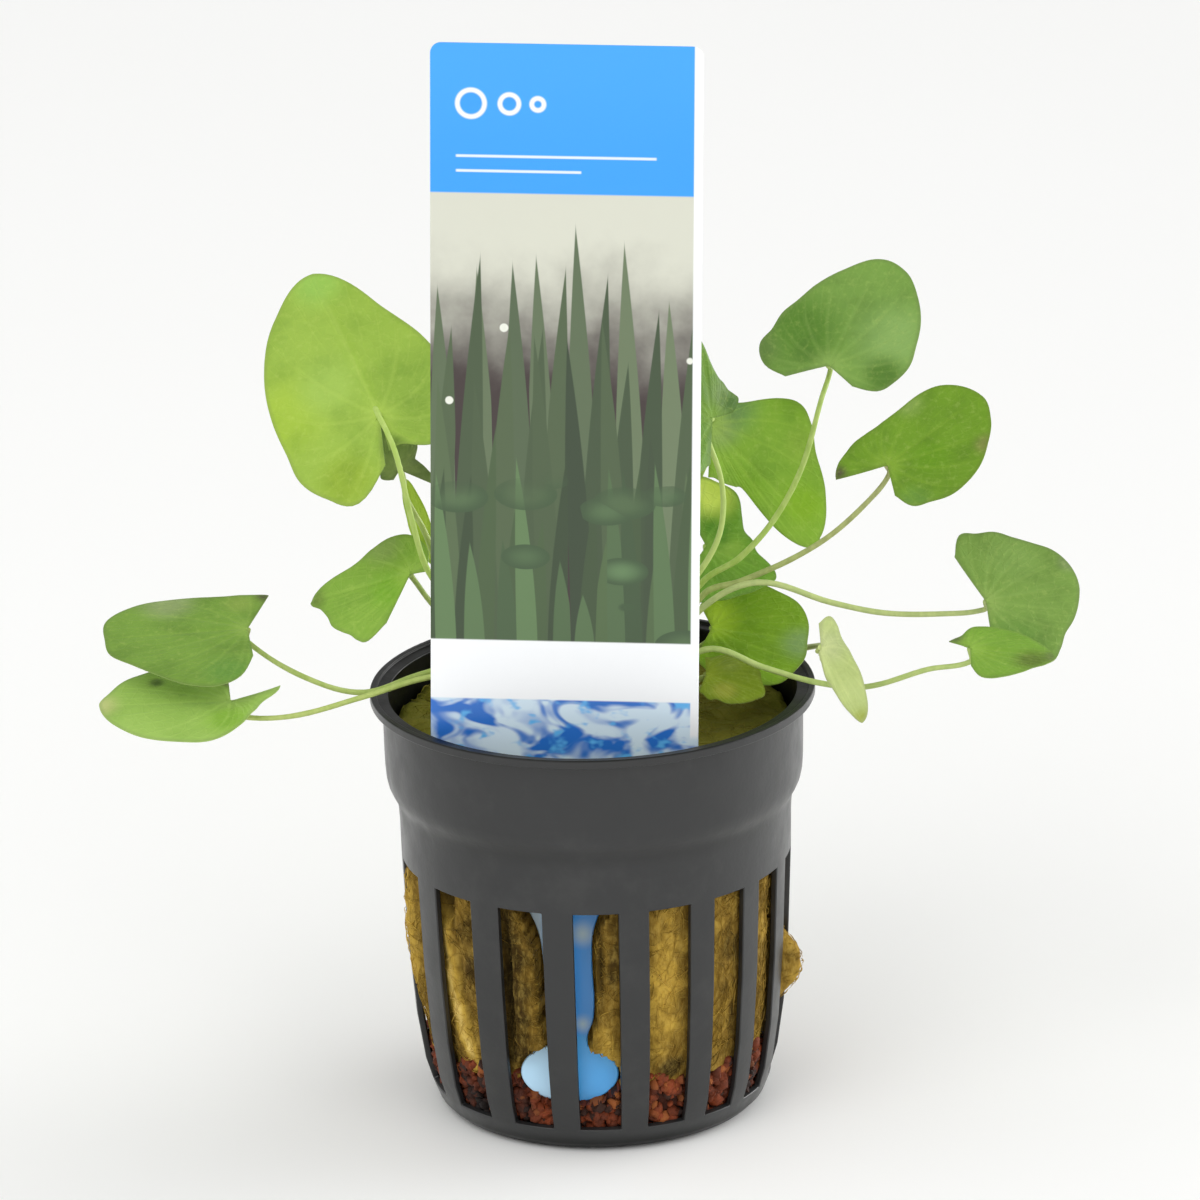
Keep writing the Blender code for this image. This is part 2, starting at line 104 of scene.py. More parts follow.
CLAY_BOTTOM = 1.1
CLAY_TOP = 9.6
CLAY_GRAINS = 1700
CLAY_COLUMNS = 128
CLAY_ROWS = 20

# Label: its own frame has its origin near the middle of the oval foot
LABEL_FOOT = (-3.9, -18.8, 10.9)
LABEL_LEAN_BACK = 3.9
LABEL_LEAN_RIGHT = 1.3
LABEL_YAW = -4.4
LABEL_THICKNESS = 0.5
CARD_FRONT = 12.0
CARD_CLEAR_TOP = SLOT_TOP - 11.0
LABEL_TOP = 127.9
LABEL_CORNER = 1.3
CARD_SHIFT = -0.8
CARD_SHIFT_FROM = 9.0
CARD_SHIFT_TO = 20.8
FOOT_HALF_WIDTH = 6.0
FOOT_HALF_HEIGHT = 3.8
FOOT_MIDDLE = -0.7
LABEL_SHOULDER = (
    (16.3, 39.0), (15.2, 34.0), (11.8, 29.0), (7.8, 24.8), (4.4, 20.0), (3.3, 17.0), (3.0, 13.5), (2.9, 6.4),
    (2.2, 4.2),
)
HEADER_BOTTOM = 109.7
PANEL_BOTTOM = 54.3
BAND_BOTTOM = 46.9
PRINT_RIGHT = 14.5
# Rows of reeds in the label's panel, from the back: pitch, seed, height, its spread, half width, lean, and a
# light and a dark tone
REED_FOOT = 52.0
REEDS = (
    (4.6, 11.0, 55.0, 0.2, 2.2, 0.003, (106, 122, 90), (72, 90, 62)),
    (3.7, 23.0, 51.0, 0.3, 1.9, -0.005, (78, 96, 64), (54, 72, 46)),
    (4.1, 37.0, 45.0, 0.5, 1.7, 0.007, (86, 106, 70), (48, 64, 42)),
    (2.9, 41.0, 37.0, 0.6, 1.2, -0.009, (78, 102, 62), (44, 60, 38)),
    (3.3, 59.0, 27.0, 0.7, 1.3, 0.011, (98, 128, 82), (58, 80, 50)),
)

# Plant
BLADE_COLUMNS = 144
BLADE_RINGS = 30
BLADE_THICKNESS = 0.36
EDGE_THICKNESS = 0.14
VEIN_BEND = 0.28
TONE_GAIN = (0.95, 0.95, 0.75)
VEIN_COLUMNS = 16
VEIN_SPACING = 2 * VEIN_COLUMNS / BLADE_COLUMNS
STEM_BASE_RADIUS = 0.46
STEM_END_RADIUS = 0.3
STEM_HOOK = 2.0
STEM_SIDES = 12
CROWN_TOP = WOOL_TOP + 0.8
CROWN_RISE = 2.5
CROWN_SPREAD = 1.5
ROOT_DEPTH = 3.0

# joint: where the stem meets the blade. turn: heading, rise and roll of the midrib, with heading 0 to the
# right and 90 to the back, and roll lifting the blade's left side. tip: joint to apex.
# left, right: the angle from midrib to lobe tip, then the reaches at even steps of that angle.
# cup lifts the margin, droop lowers the apex, fold lifts both halves from the midrib, wave is how far the
# margin waves and keel the midrib's height below the blade.
# root: where the stem leaves the rock wool. way: its bends.
# Colours are 0 to 255. tone: the blade's main colour, on its upper face, or on its lower one where under is
# true. patches: (across, out, radius, colour), with across from -1, the right lobe's edge, to 1, the left
# lobe's, and out from 0, the joint, to 1, the margin. stalk: the stem's colour at its foot and at the blade.
Leaf = namedtuple(
    "Leaf",
    "joint turn tip left right root way tone patches stalk cup droop fold wave keel under",
    defaults=((), ((156, 184, 84), (150, 172, 90)), 0.8, 1.0, 0.0, 0.25, 0.12, False),
)

DARK = (62, 44, 50)
LEAVES = {
    "upper_left": Leaf(
        joint=(-25, -5, 91), turn=(118, 39, 149), tip=21.5, cup=1, droop=1.5, fold=0.1,
        left=(188, 15, 12, 10.5, 10, 10, 8, 5, 5), right=(163, 19.5, 16.5, 14, 12.5, 12.5, 12, 11.5, 6.5),
        root=(-1.9, -0.2), way=((-12.5, -2, 60), (-19.5, -6, 71), (-21.5, -8, 79), (-23.2, -9.8, 88.2)),
        tone=(146, 179, 72), stalk=((160, 186, 88), (164, 192, 92)), wave=0.3, keel=0.4, under=True,
        patches=(
            (-0.45, 0.85, 8, (154, 186, 64)), (-0.2, 0.45, 6, (152, 186, 84)),
            (-0.85, 0.75, 6, (140, 170, 52)), (0.4, 0.6, 8, (138, 172, 68)), (0, 0.95, 5, (142, 186, 84)),
            (0.98, 0.95, 2.4, (92, 120, 46)),
        ),
    ),
    "behind_left": Leaf(
        joint=(-23, 3, 81.5), turn=(113, 41, -27), tip=11, cup=0.6, droop=0.8,
        left=(132, 8, 6, 4, 3, 2.5, 2.5, 2, 1.5), right=(138, 8, 5.5, 4, 2.5, 2.5, 3, 4, 6),
        root=(-1.5, 1.1), way=((-12, 2.5, 60), (-18, 1.5, 68.5), (-20.3, 1.8, 74.2), (-22.3, 2.8, 78)),
        tone=(120, 140, 84), stalk=((160, 178, 92), (150, 170, 84)),
        patches=((-0.8, 0.9, 4, (112, 128, 84)),),
    ),
    "young_left": Leaf(
        joint=(-19.5, 3.5, 69.5), turn=(107, 37, -33), tip=12.5, cup=0.3, droop=0.5,
        left=(30, 12, 10, 7.5, 6, 4.5, 3.5, 2.5, 2), right=(41, 9.5, 7, 5, 4, 3.5, 3, 2.5, 2),
        root=(-3.9, 2.5), way=((-11, 5, 58.5), (-18, 4.5, 64.5)),
        tone=(162, 194, 60), stalk=((156, 186, 84), (160, 190, 80)), wave=0.1,
        patches=((0.5, 0.3, 3, (138, 176, 48)), (-0.9, 0.5, 2, (180, 206, 90))),
    ),
    "mid_left": Leaf(
        joint=(-22, -3, 70), turn=(172, -16, -43), tip=13, cup=0.5, droop=1,
        left=(59, 12, 11.5, 11.5, 11, 10.5, 10.5, 10, 7), right=(187, 8, 6.5, 6, 5.5, 4.5, 3.5, 2.5, 2),
        root=(-3.3, 1.1), way=((-12.5, 1, 58), (-19, 0, 64.5)),
        tone=(128, 168, 64), stalk=((154, 178, 84), (140, 160, 88)), wave=0.08,
        patches=(
            (0, 1, 3, (108, 136, 56)), (-0.4, 0.9, 4, (134, 162, 88)), (0.5, 0.3, 4, (118, 168, 46)),
        ),
    ),
    "far_left_high": Leaf(
        joint=(-42, -6, 64.5), turn=(-173, -1, -14), tip=17.5, cup=0.6, droop=0.8,
        left=(91, 17.5, 16, 15, 14.5, 14, 13, 10.5, 6), right=(116, 17.5, 15, 11.5, 9, 7.5, 7, 7, 7.5),
        root=(-3.5, -0.5), way=((-14, -2.5, 58), (-21, -4, 57.3), (-28, -6.5, 56), (-35, -9, 59)),
        tone=(112, 149, 61), stalk=((164, 186, 96), (146, 166, 84)),
        patches=(
            (-0.4, 0.88, 5, (144, 164, 116)), (-1, 1, 2.6, DARK), (0.85, 0.8, 5, (96, 140, 58)),
            (-0.8, 0.75, 3, (124, 152, 70)),
        ),
    ),
    "far_left_low": Leaf(
        joint=(-44, -14, 58), turn=(-179, -1, -14), tip=16, cup=0.6, droop=0.8,
        left=(201, 13.5, 10.5, 9, 6, 4, 3.5, 4, 6.5), right=(86, 15, 14, 12.5, 11.5, 10.5, 9.5, 7.5, 4),
        root=(-2.9, -2), way=((-14, -4.8, 57.5), (-20.5, -6, 57.5), (-28, -9.5, 56.5), (-37, -14, 55.8)),
        tone=(154, 191, 100), stalk=((168, 188, 98), (164, 180, 98)),
        patches=(
            (-0.35, 0.75, 1.4, (88, 112, 62)), (-0.75, 0.8, 4, (170, 178, 120)), (-1, 1, 1.4, DARK),
            (0, 1, 3.5, (190, 200, 140)), (0.5, 0.6, 5, (146, 190, 80)),
        ),
    ),
    "upper_right": Leaf(
        joint=(30, 8, 92), turn=(50, 47, 25), tip=15.5, cup=0.8, droop=1.5,
        left=(127, 13, 11, 9.5, 9, 8.5, 9, 8, 5.5), right=(110, 15.5, 14, 12.5, 11, 10, 8.5, 7, 4),
        root=(1.6, -1), way=((14, 0.5, 67), (18.5, 1, 69.7), (23, 2.5, 74.3), (26.5, 4, 80.5), (29, 7, 88)),
        tone=(112, 150, 70), stalk=((166, 196, 86), (146, 170, 86)),
        patches=(
            # The greyish patch on the right lobe is a painted sheen
            (-0.45, 0.7, 7, (126, 162, 92)), (0.5, 0.6, 7.5, (84, 126, 42)), (0.85, 0.95, 3.2, (94, 126, 62)),
            (-0.8, 0.8, 4, (80, 120, 40)),
        ),
    ),
    "mid_right": Leaf(
        joint=(36.5, -6, 83.5), turn=(28, 27, 28), tip=15,
        left=(157, 13, 8, 6, 5.5, 5.5, 5.5, 6, 6.5), right=(118, 14, 12.5, 11.5, 10.5, 9.5, 8, 7, 4.5),
        root=(3.5, -0.1),
        way=((14, -1.5, 66), (18.5, -1.5, 67.5), (25, -2, 70.5), (30, -3, 74), (35, -5, 79.5)),
        tone=(102, 142, 32), stalk=((156, 176, 88), (150, 150, 104)),
        patches=(
            (-0.3, 0.45, 4, (96, 140, 20)), (0.98, 1, 2.2, DARK), (-0.35, 1, 2.4, (120, 128, 70)),
            (-0.9, 0.9, 3.5, (104, 146, 56)), (0.3, 1, 3, (122, 152, 74)),
        ),
    ),
    "far_right_high": Leaf(
        joint=(48.5, -4, 65), turn=(15, 4, 40), tip=12,
        left=(108, 12, 11.5, 10.5, 10, 10, 9.5, 9.5, 7), right=(100, 11.5, 11, 10.5, 11, 11.5, 10, 8.5, 6.5),
        root=(3.1, -1.6),
        way=((13.5, -4.5, 65), (20.5, -5, 68.5), (29.5, -4.5, 65.5), (36, -4, 63.8), (43, -4, 63.5)),
        tone=(114, 148, 72), stalk=((174, 190, 118), (160, 174, 110)),
        patches=(
            (-0.8, 0.7, 6, (94, 132, 58)), (0.5, 0.7, 5, (122, 156, 82)), (0.2, 1, 2, (126, 148, 100)),
        ),
    ),
    "far_right_low": Leaf(
        joint=(46, -14, 62.5), turn=(-16, -3, 14), tip=10.5, cup=0.4, droop=0.5,
        left=(162, 8.5, 7, 5.5, 4.5, 4, 3, 3, 3), right=(75, 10, 9, 8.5, 8, 7.5, 7, 6, 3.5),
        root=(0.7, -3.4),
        way=((14, -6.5, 60.5), (21, -6.5, 58), (27.5, -6, 55.7), (33.5, -7.5, 55.5), (41, -11.5, 59)),
        tone=(114, 156, 56), stalk=((166, 188, 104), (170, 190, 112)),
        patches=(
            (0.95, 1, 2, (84, 96, 60)), (0, 1, 2.4, (100, 118, 72)), (-0.15, 0.8, 3.5, (88, 112, 42)),
            (-0.3, 0.3, 3, (118, 158, 56)),
        ),
    ),
    "inner_right": Leaf(
        joint=(15.5, 12, 83.5), turn=(-27, -41, 41), tip=19.5,
        left=(127, 16.5, 13.5, 12.5, 11, 5.5, 4, 4, 3.5), right=(48, 19.5, 16, 9.5, 8.5, 8, 7.5, 7, 7),
        root=(-0.4, 1.9), way=((6, 8, 58.5), (10.5, 14, 69), (15, 15.5, 78)),
        tone=(129, 171, 56), stalk=((156, 184, 84), (156, 184, 88)),
        patches=(
            (0.85, 0.8, 6, (106, 144, 88)), (0.35, 0.9, 4, (140, 176, 66)), (-0.3, 0.6, 4, (120, 164, 40)),
            (0.05, 0.8, 4, (130, 174, 40)), (0.95, 1, 2.5, (84, 122, 76)), (0, 0.05, 4, (132, 162, 96)),
        ),
    ),
    "behind_label_right": Leaf(
        joint=(15.5, 2, 87.5), turn=(102, 53, 23), tip=10.5,
        left=(165, 8.5, 7, 6.5, 6.5, 7, 8.5, 10, 6.5), right=(76, 7.5, 6, 5.5, 5, 5, 5, 4, 3),
        root=(1, 1.6), way=((5, 1, 58), (12.5, -1.5, 67.5), (16, 0, 73), (16.5, 2, 79)),
        tone=(94, 134, 44), stalk=((166, 190, 96), (174, 196, 108)),
        patches=(
            (-0.6, 0.75, 4, (114, 142, 92)), (-0.9, 0.9, 3, (76, 112, 56)), (0.6, 0.2, 3.5, (88, 130, 34)),
        ),
    ),
    "light_right": Leaf(
        joint=(14.5, 8, 69), turn=(-15, -21, 35), tip=9.5, cup=0.6, droop=0.8,
        left=(139, 6.5, 6, 5.5, 6.5, 8.5, 9, 9.5, 6.5), right=(96, 9, 8.5, 8, 8, 8, 8.5, 9, 7),
        root=(1.8, 0.5), way=((6, 2.5, 57.5), (11, 6, 64.5)),
        tone=(106, 152, 52), stalk=((166, 192, 96), (170, 196, 104)),
        patches=(
            # The pale patch on the left lobe is a painted highlight
            (0.85, 0.8, 5, (222, 240, 122)), (0.15, 0.5, 3, (132, 172, 70)),
            (0.58, 0.27, 3, (84, 136, 40)),
        ),
    ),
    "pot_right": Leaf(
        joint=(15, 6, 59), turn=(-10, -6, 30), tip=12, cup=0.6, droop=0.8,
        left=(122, 12, 11.5, 10, 9, 8, 6.5, 5, 4), right=(102, 12.5, 12.5, 12.5, 11, 9.5, 8, 6.5, 5.5),
        root=(2.3, 2.7), way=((8, 5.5, 53.5),),
        tone=(118, 158, 36), stalk=((140, 160, 76), (146, 166, 80)),
        patches=(
            # The bright patch on the left lobe is painted light
            (-0.05, 0.95, 4.2, (124, 156, 100)), (0.85, 0.3, 5, (172, 204, 60)),
            (-0.6, 0.5, 4, (104, 142, 30)),
        ),
    ),
    "pot_right_low": Leaf(
        joint=(14, -4, 56.5), turn=(-26, -10, 23), tip=8, cup=0.4, droop=0.6,
        left=(118, 7, 6.5, 5, 4.5, 4, 3.5, 3, 3), right=(78, 7.5, 7, 6.5, 6, 5, 5, 4, 3.5),
        root=(2.2, -2.8), way=((7, -4.5, 52.5),),
        tone=(114, 136, 24), stalk=((128, 140, 64), (128, 140, 64)),
        patches=((-0.4, 0.6, 2.4, (146, 152, 60)), (0.5, 0.7, 2.4, (118, 136, 50))),
    ),
    "rim_right": Leaf(
        joint=(28, -11, 62), turn=(-41, -52, 30), tip=10.5, cup=0.4, droop=0.5,
        left=(156, 7, 4.5, 3.5, 3, 3, 3.5, 4, 3), right=(54, 8.5, 5.5, 4, 2, 1.5, 1, 1, 0.5),
        root=(3.2, 1.4), way=((11, 4, 52.3), (19, 7.5, 53.8), (26, 8.5, 55), (28.5, 4, 57), (29, -3, 59.5)),
        tone=(178, 194, 134), stalk=((150, 162, 84), (190, 204, 128)),
        patches=((0, 1, 2.4, (158, 170, 84)), (0.5, 0.4, 3, (160, 174, 130))),
    ),
    "back_left": Leaf(
        joint=(-7, 15, 82), turn=(125, 20, -12), tip=15, cup=0.8, droop=1.2,
        left=(118, 12.5, 10.5, 10, 9.5, 6), right=(122, 12.5, 10.5, 10, 9.5, 6),
        root=(-2.2, 2.8), way=((-6, 8, 60), (-8, 13, 72)),
        tone=(118, 158, 62),
    ),
    "back_middle": Leaf(
        joint=(0, 20, 70), turn=(75, 4, 10), tip=14, cup=0.7, droop=1,
        left=(120, 11.5, 10, 9, 8.5, 5.5), right=(116, 12, 10.5, 9.5, 8, 5),
        root=(-0.7, 3.4), way=((-1, 11, 59), (0, 17, 66)),
        tone=(126, 164, 64),
    ),
    "back_right": Leaf(
        joint=(-2, 12, 98), turn=(70, 40, 14), tip=15.5, cup=0.9, droop=1.4,
        left=(128, 12.5, 10.5, 10, 9, 5.5), right=(120, 13, 11, 10, 8.5, 5),
        root=(0.9, 3.4), way=((3, 9, 62), (2, 13, 78), (-1, 13.5, 90)),
        tone=(110, 150, 62), patches=((0.9, 0.9, 3, (90, 124, 60)),),
    ),
}


def linear(colour):
    """A colour of 0 to 255 steps, as the linear numbers that shaders use."""
    steps = np.array(colour[:3], float) / 255
    return np.where(steps <= 0.04045, steps / 12.92, ((steps + 0.055) / 1.055) ** 2.4)


def rgba(colour):
    return (*linear(colour), 1.0)


class Wire:
    """What a node gives out. A sum or product with it adds the Math node that works it out."""

    def __init__(self, nodes, socket):
        self.nodes = nodes
        self.socket = socket

    def apply(self, operation, *others):
        return self.nodes.node("Math", dict(enumerate((self, *others))), operation=operation)

    __add__ = partialmethod(apply, "ADD")
    __sub__ = partialmethod(apply, "SUBTRACT")
    __mul__ = partialmethod(apply, "MULTIPLY")
    __truediv__ = partialmethod(apply, "DIVIDE")
    __pow__ = partialmethod(apply, "POWER")
    __abs__ = partialmethod(apply, "ABSOLUTE")
    at_least = partialmethod(apply, "MAXIMUM")

    def rise(self, low, high, start=0.0, end=1.0):
        """Goes smoothly from start at low to end at high."""
        values = {"Value": self, "From Min": low, "From Max": high, "To Min": start, "To Max": end}
        return self.nodes.node("MapRange", values, interpolation_type="SMOOTHSTEP")


class Nodes:
    """A node tree. Each call adds a node and gives back one of its outputs."""

    def __init__(self, tree):
        self.tree = tree

    def feed(self, socket, value):
        if isinstance(value, Wire):
            self.tree.links.new(value.socket, socket)
        else:
            socket.default_value = rgba(value) if socket.type == "RGBA" else value

    def node(self, kind, values, output=0, **settings):
        made = self.tree.nodes.new("ShaderNode" + kind)
        for key, setting in settings.items():
            setattr(made, key, setting)
        for socket, value in values.items():
            self.feed(made.inputs[socket], value)
        return Wire(self, made.outputs[output])

    def parts(self, wire, kind="SeparateXYZ"):
        """The three parts of a vector or a colour."""
        return [Wire(self, socket) for socket in self.node(kind, {0: wire}).socket.node.outputs]

    def scaled(self, vector, factors):
        return self.node("VectorMath", {0: vector, 1: factors}, operation="MULTIPLY")

    def mix(self, share, first, second, blend="MIX"):
        return self.node("Mix", {0: share, 6: first, 7: second}, 2, data_type="RGBA", blend_type=blend)

    def layered(self, base, *layers):
        """A base colour with others over it, each given as its share and its colour."""
        for share, colour in layers:
            base = self.mix(share, base, colour)
        return base


class Finish(Nodes):
    """One material: a Principled shader and the nodes that feed it."""

    def __init__(self, name, **settings):
        self.material = bpy.data.materials.new(name)
        self.material.use_nodes = True
        super().__init__(self.material.node_tree)
        self.shader = self.tree.nodes["Principled BSDF"]
        self.normal = None
        self.place = self.scaled(self.node("TexCoord", {}, "Object"), (1 / MM,) * 3)
        for socket, value in settings.items():
            self.set(socket.replace("_", " "), value)

    def set(self, socket, value):
        self.feed(self.shader.inputs[socket], value)

    def paint(self, base, *layers):
        self.set("Base Color", self.layered(base, *layers))

    def mark(self, name, output="Fac"):
        return self.node("Attribute", {}, output, attribute_name=name)

    def cloud(self, size, detail=3.0, rough=0.55, vector=None, warp=0.0):
        """Soft noise whose features are about size millimetres across."""
        values = {
            "Vector": vector or self.place, "Scale": 1 / size, "Detail": detail, "Roughness": rough,
            "Distortion": warp,
        }
        return self.node("TexNoise", values)

    def cells(self, size, feature="F1", output="Distance", vector=None, random=1.0):
        values = {"Vector": vector or self.place, "Scale": 1 / size, "Randomness": random}
        return self.node("TexVoronoi", values, output, feature=feature)

    def bump(self, height, depth):
        """Relief of a depth in millimetres, on top of the relief that is already there."""
        values = {"Height": height, "Distance": depth * MM}
        if self.normal:
            values["Normal"] = self.normal
        self.normal = self.node("Bump", values)
        self.set("Normal", self.normal)


def put(name, data):
    """A new object in the scene."""
    made = bpy.data.objects.new(name, data)
    bpy.context.scene.collection.objects.link(made)
    return made


def add_piece(name, node, slot, finish, points, faces, marks, sharp_angle=180.0):
    """A mesh from points in millimetres, which stands for a node of the frame. marks: its values by name."""
    mesh = bpy.data.meshes.new(name)
    mesh.from_pydata((np.asarray(points) * MM).tolist(), [], faces)
    kinds = {1: ("FLOAT", "value"), 3: ("FLOAT_VECTOR", "vector"), 4: ("FLOAT_COLOR", "color")}
    for mark, values in marks.items():
        values = np.asarray(values, np.float32)
        kind, field = kinds[values.shape[1] if values.ndim > 1 else 1]
        mesh.attributes.new(mark, kind, "POINT").data.foreach_set(field, values.ravel())
    mesh.shade_smooth()
    if sharp_angle < 180:
        mesh.set_sharp_from_angle(angle=radians(sharp_angle))
    mesh.materials.append(finish.material)
    piece = put(name, mesh)
    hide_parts(node)
    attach(piece, "root")
    return piece


def grid_faces(rows, columns, closed):
    """Quads between neighbouring rings of points, anticlockwise seen from outside."""
    starts = np.arange(columns if closed else columns - 1)
    row, column = np.meshgrid(np.arange(rows - 1), starts, indexing="ij")
    start = row * columns + column
    after = row * columns + (column + 1) % columns
    return np.stack([start, after, after + columns, start + columns], -1).reshape(-1, 4).tolist()


def capped_faces(rows, columns):
    """A closed wall of quads between rings of points, with one face over each end."""
    last = (rows - 1) * columns
    caps = [list(reversed(range(columns))), list(range(last, last + columns))]
    return grid_faces(rows, columns, True) + caps


def joined(parts):
    """Several meshes as one. A part is its points, faces and marks, where one number may stand for all."""
    faces = []
    start = 0
    for points, part_faces, _ in parts:
        faces += [[corner + start for corner in face] for face in part_faces]
        start += len(points)
    marks = {
        name: np.concatenate([np.broadcast_to(marks[name], len(points)) for points, _, marks in parts])
        for name in parts[0][2]
    }
    return np.concatenate([points for points, _, _ in parts]), faces, marks


def grain(points, size, octaves):
    """Fractal noise at each point, for features of about a size in millimetres."""
    return np.array([noise.fractal(Vector(p) / size, 1.0, 2.0, octaves) for p in points])


def smooth_bump(offset, half_width):
    """1 in the middle and 0 at the ends, with a smooth shoulder."""
    return 0.5 + 0.5 * np.cos(pi * np.clip(np.abs(offset) / half_width, 0, 1))


def rib_angle(nominal):
    """Where a nominal angle round the pot really is; 0 is the front and 90 the right."""
    return nominal + RIB_TURN + RIB_CREEP * np.sin(np.radians(nominal)) ** 4


def round_points(radius, nominal, height):
    angle = np.radians(rib_angle(nominal))
    radius, angle, height = np.broadcast_arrays(radius, angle, height)
    return np.stack([radius * np.sin(angle), -radius * np.cos(angle), height], -1)


# Pot
def pot_finish():
    finish = Finish("pot plastic")
    mottle = finish.cloud(3.5, 4.0)
    dust = finish.cloud(9.0, 5.0, 0.65).rise(0.5, 0.75)
    z = finish.parts(finish.place)[2]
    level = finish.scaled(finish.place, (1.0, 1.0, 0.0))
    radius = finish.node("VectorMath", {0: level}, "Value", operation="LENGTH")
    # Painted shade: the plastic is darker, and reflects less, inside the pot, on the rim's lip and top, in a
    # band under the collar's step and near the base
    inside = radius.rise(25.6, 25.3) * z.rise(42.0, 43.0)
    lip = (radius.rise(26.95, 26.75) * z.rise(52.7, 52.85)).at_least(z.rise(53.7, 53.95, 0.0, 0.75))
    under_step = z.rise(38.0, 40.2, 0.0, 0.22) * z.rise(42.6, 41.0)
    shaded = inside.at_least(lip).at_least(z.rise(3.2, 1.0, 0.0, 0.8)).at_least(under_step)
    finish.set("Specular IOR Level", shaded.rise(0.0, 1.0, 0.55, 0.15))
    finish.paint((28, 29, 30), (mottle, (35, 36, 36)), (dust * 0.2, (72, 72, 70)), (shaded, (14, 15, 12)))
    finish.set("Roughness", mottle.rise(0.3, 0.7, 0.28, 0.38))
    finish.bump(finish.cloud(0.5, 2.0), 0.015)
    finish.bump(finish.cloud(6.0, 2.0), 0.12)
    return finish


def make_pot():
    half = SLOT_WIDTH / 2
    steps = np.concatenate([
        np.linspace(-half, half, SLOT_COLUMNS + 1)[:-1],
        np.linspace(half, SLOT_PITCH - half, RIB_COLUMNS + 1)[:-1],
    ])
    nominals = (np.arange(SLOT_COUNT)[:, None] * SLOT_PITCH + steps).ravel()
    rows = fine_profile()
    points = np.concatenate([round_points(radius, nominals, height) for radius, height in rows])
    faces = []
    for face in grid_faces(len(rows), len(nominals), True):
        row, column = divmod(face[0], len(nominals))
        in_slot = SLOT_BOTTOM <= rows[row][1] < SLOT_TOP and column % len(steps) < SLOT_COLUMNS
        if not in_slot:
            faces.append(face)
    faces.append(list(reversed(range(len(nominals)))))
    pot = add_piece("net_pot", "pot", "pot", pot_finish(), points, faces, {}, POT_SHARP_ANGLE)
    wall = pot.modifiers.new("wall", "SOLIDIFY")
    wall.thickness = POT_WALL * MM
    wall.offset = -1.0
    wall.use_even_offset = True
    edge = pot.modifiers.new("soft edges", "BEVEL")
    edge.width = POT_BEVEL * MM
    edge.segments = 2
    edge.limit_method = "ANGLE"
    edge.angle_limit = radians(POT_SHARP_ANGLE)
    edge.harden_normals = True


def fine_profile():
    """The pot's profile with the corners of its step eased, and with more points on its long runs."""
    low, high = POT_STEP[0][1], POT_STEP[-1][1]
    below = [row for row in POT_PROFILE if row[1] < low]
    above = [row for row in POT_PROFILE if row[1] > high]
    profile = [*below, *POT_STEP, *above]
    fine = [profile[0]]
    for start, end in zip(profile, profile[1:]):
        count = max(1, round((end[1] - start[1]) / PROFILE_STEP))
        fine += [tuple(a + (b - a) * k / count for a, b in zip(start, end)) for k in range(1, count + 1)]
    return fine


# Fillings
def inside_radius(height):
    radii, heights = zip(*POT_PROFILE)
    return np.interp(height, heights, radii) - POT_WALL - GAP


def slot_share(nominal):
    """1 in the middle of a slot, 0 from its edges on."""
    offset = (np.asarray(nominal) + SLOT_PITCH / 2) % SLOT_PITCH - SLOT_PITCH / 2
    return smooth_bump(offset, SLOT_WIDTH / 2 + 0.8)


# Where the wool stands back from its slot, which is also painted darker there as shade: nominal angle,
# height, half angle, half height, depth
WOOL_HOLLOWS = (
    (-51, 30.5, 4.5, 3.5, 2.6), (-46, 21.5, 1.6, 5, 1.3), (-43.8, 16, 1.6, 4, 1.3), (-29.5, 22, 3, 14, 1.8),
    (1, 25, 2, 8, 1.8), (78, 22, 3, 14, 1.8), (88, 26, 3, 5, 1.5), (170, 26, 4, 5, 1.6),
    (-130, 16, 4, 6, 1.6), (140, 13, 4, 4, 1.4),
)

# Where it swells out of its slots, in the same way: a bulge on the left and the lump on the right
WOOL_BULGES = (
    (-72.5, 24.5, 11, 12.5, 1.4), (LUMP_NOMINAL, LUMP_HEIGHT, LUMP_HALF_ANGLE, LUMP_HALF_HEIGHT, 2.9),
)

# Light and dark places in the wool, partly its own uneven tone and partly painted light and shade: a painted
# lit band in the second slot left of the front, and a painted shadow along a ragged lower edge in the slot
# right of the front. Then painted shade on the clay. Columns: nominal angle, height, half angle, half height,
# and how light or dark
WOOL_TONES_AND_PAINTED_LIGHT = (
    (22.5, 21, 12, 18, 0.9), (24, 11.2, 8, 2.6, -1.7), (-53, 26, 5.5, 5.5, 1.5), (-50.8, 20.5, 5.5, 6, 1.8),
    (-48.2, 15.5, 5.5, 5, 1.8), (-44.5, 11.5, 4.5, 3.5, 1.5), (-42, 24, 5, 12, -0.5),
    (-28.5, 22, 6, 18, -1.2), (-23.5, 19, 4, 16, -0.7), (-19, 21, 5, 14, -0.1), (4.5, 24, 3.5, 10, -0.55),
    (3.5, 13.5, 4.5, 5.5, 0.75), (40.5, 20, 3, 16, 0.35), (46.5, 26, 3, 10, -0.35),
    (50.5, 15.5, 3.5, 3, -0.6), (51, 25, 2, 3, -0.6), (90, 17.9, 9, 8, 0.6), (-72, 23, 10, 14, 1.3),
    (113, 24, 8, 9, 0.6), (135, 15, 8, 8, -0.6), (158, 26, 9, 9, 0.5), (180, 14, 8, 9, -0.5),
    (-157, 22, 9, 14, 0.6), (-135, 27, 7, 6, -0.6), (-112, 18, 8, 12, 0.5),
)

CLAY_PAINTED_SHADE = (
    (-46, 5.5, 9, 5.5, 0.7), (-44, 3.6, 6, 3.2, 0.9), (-26, 5, 9, 5.5, 0.65), (28, 5, 3, 6, 0.6),
    (69, 5.5, 7, 5.5, 0.8),
)


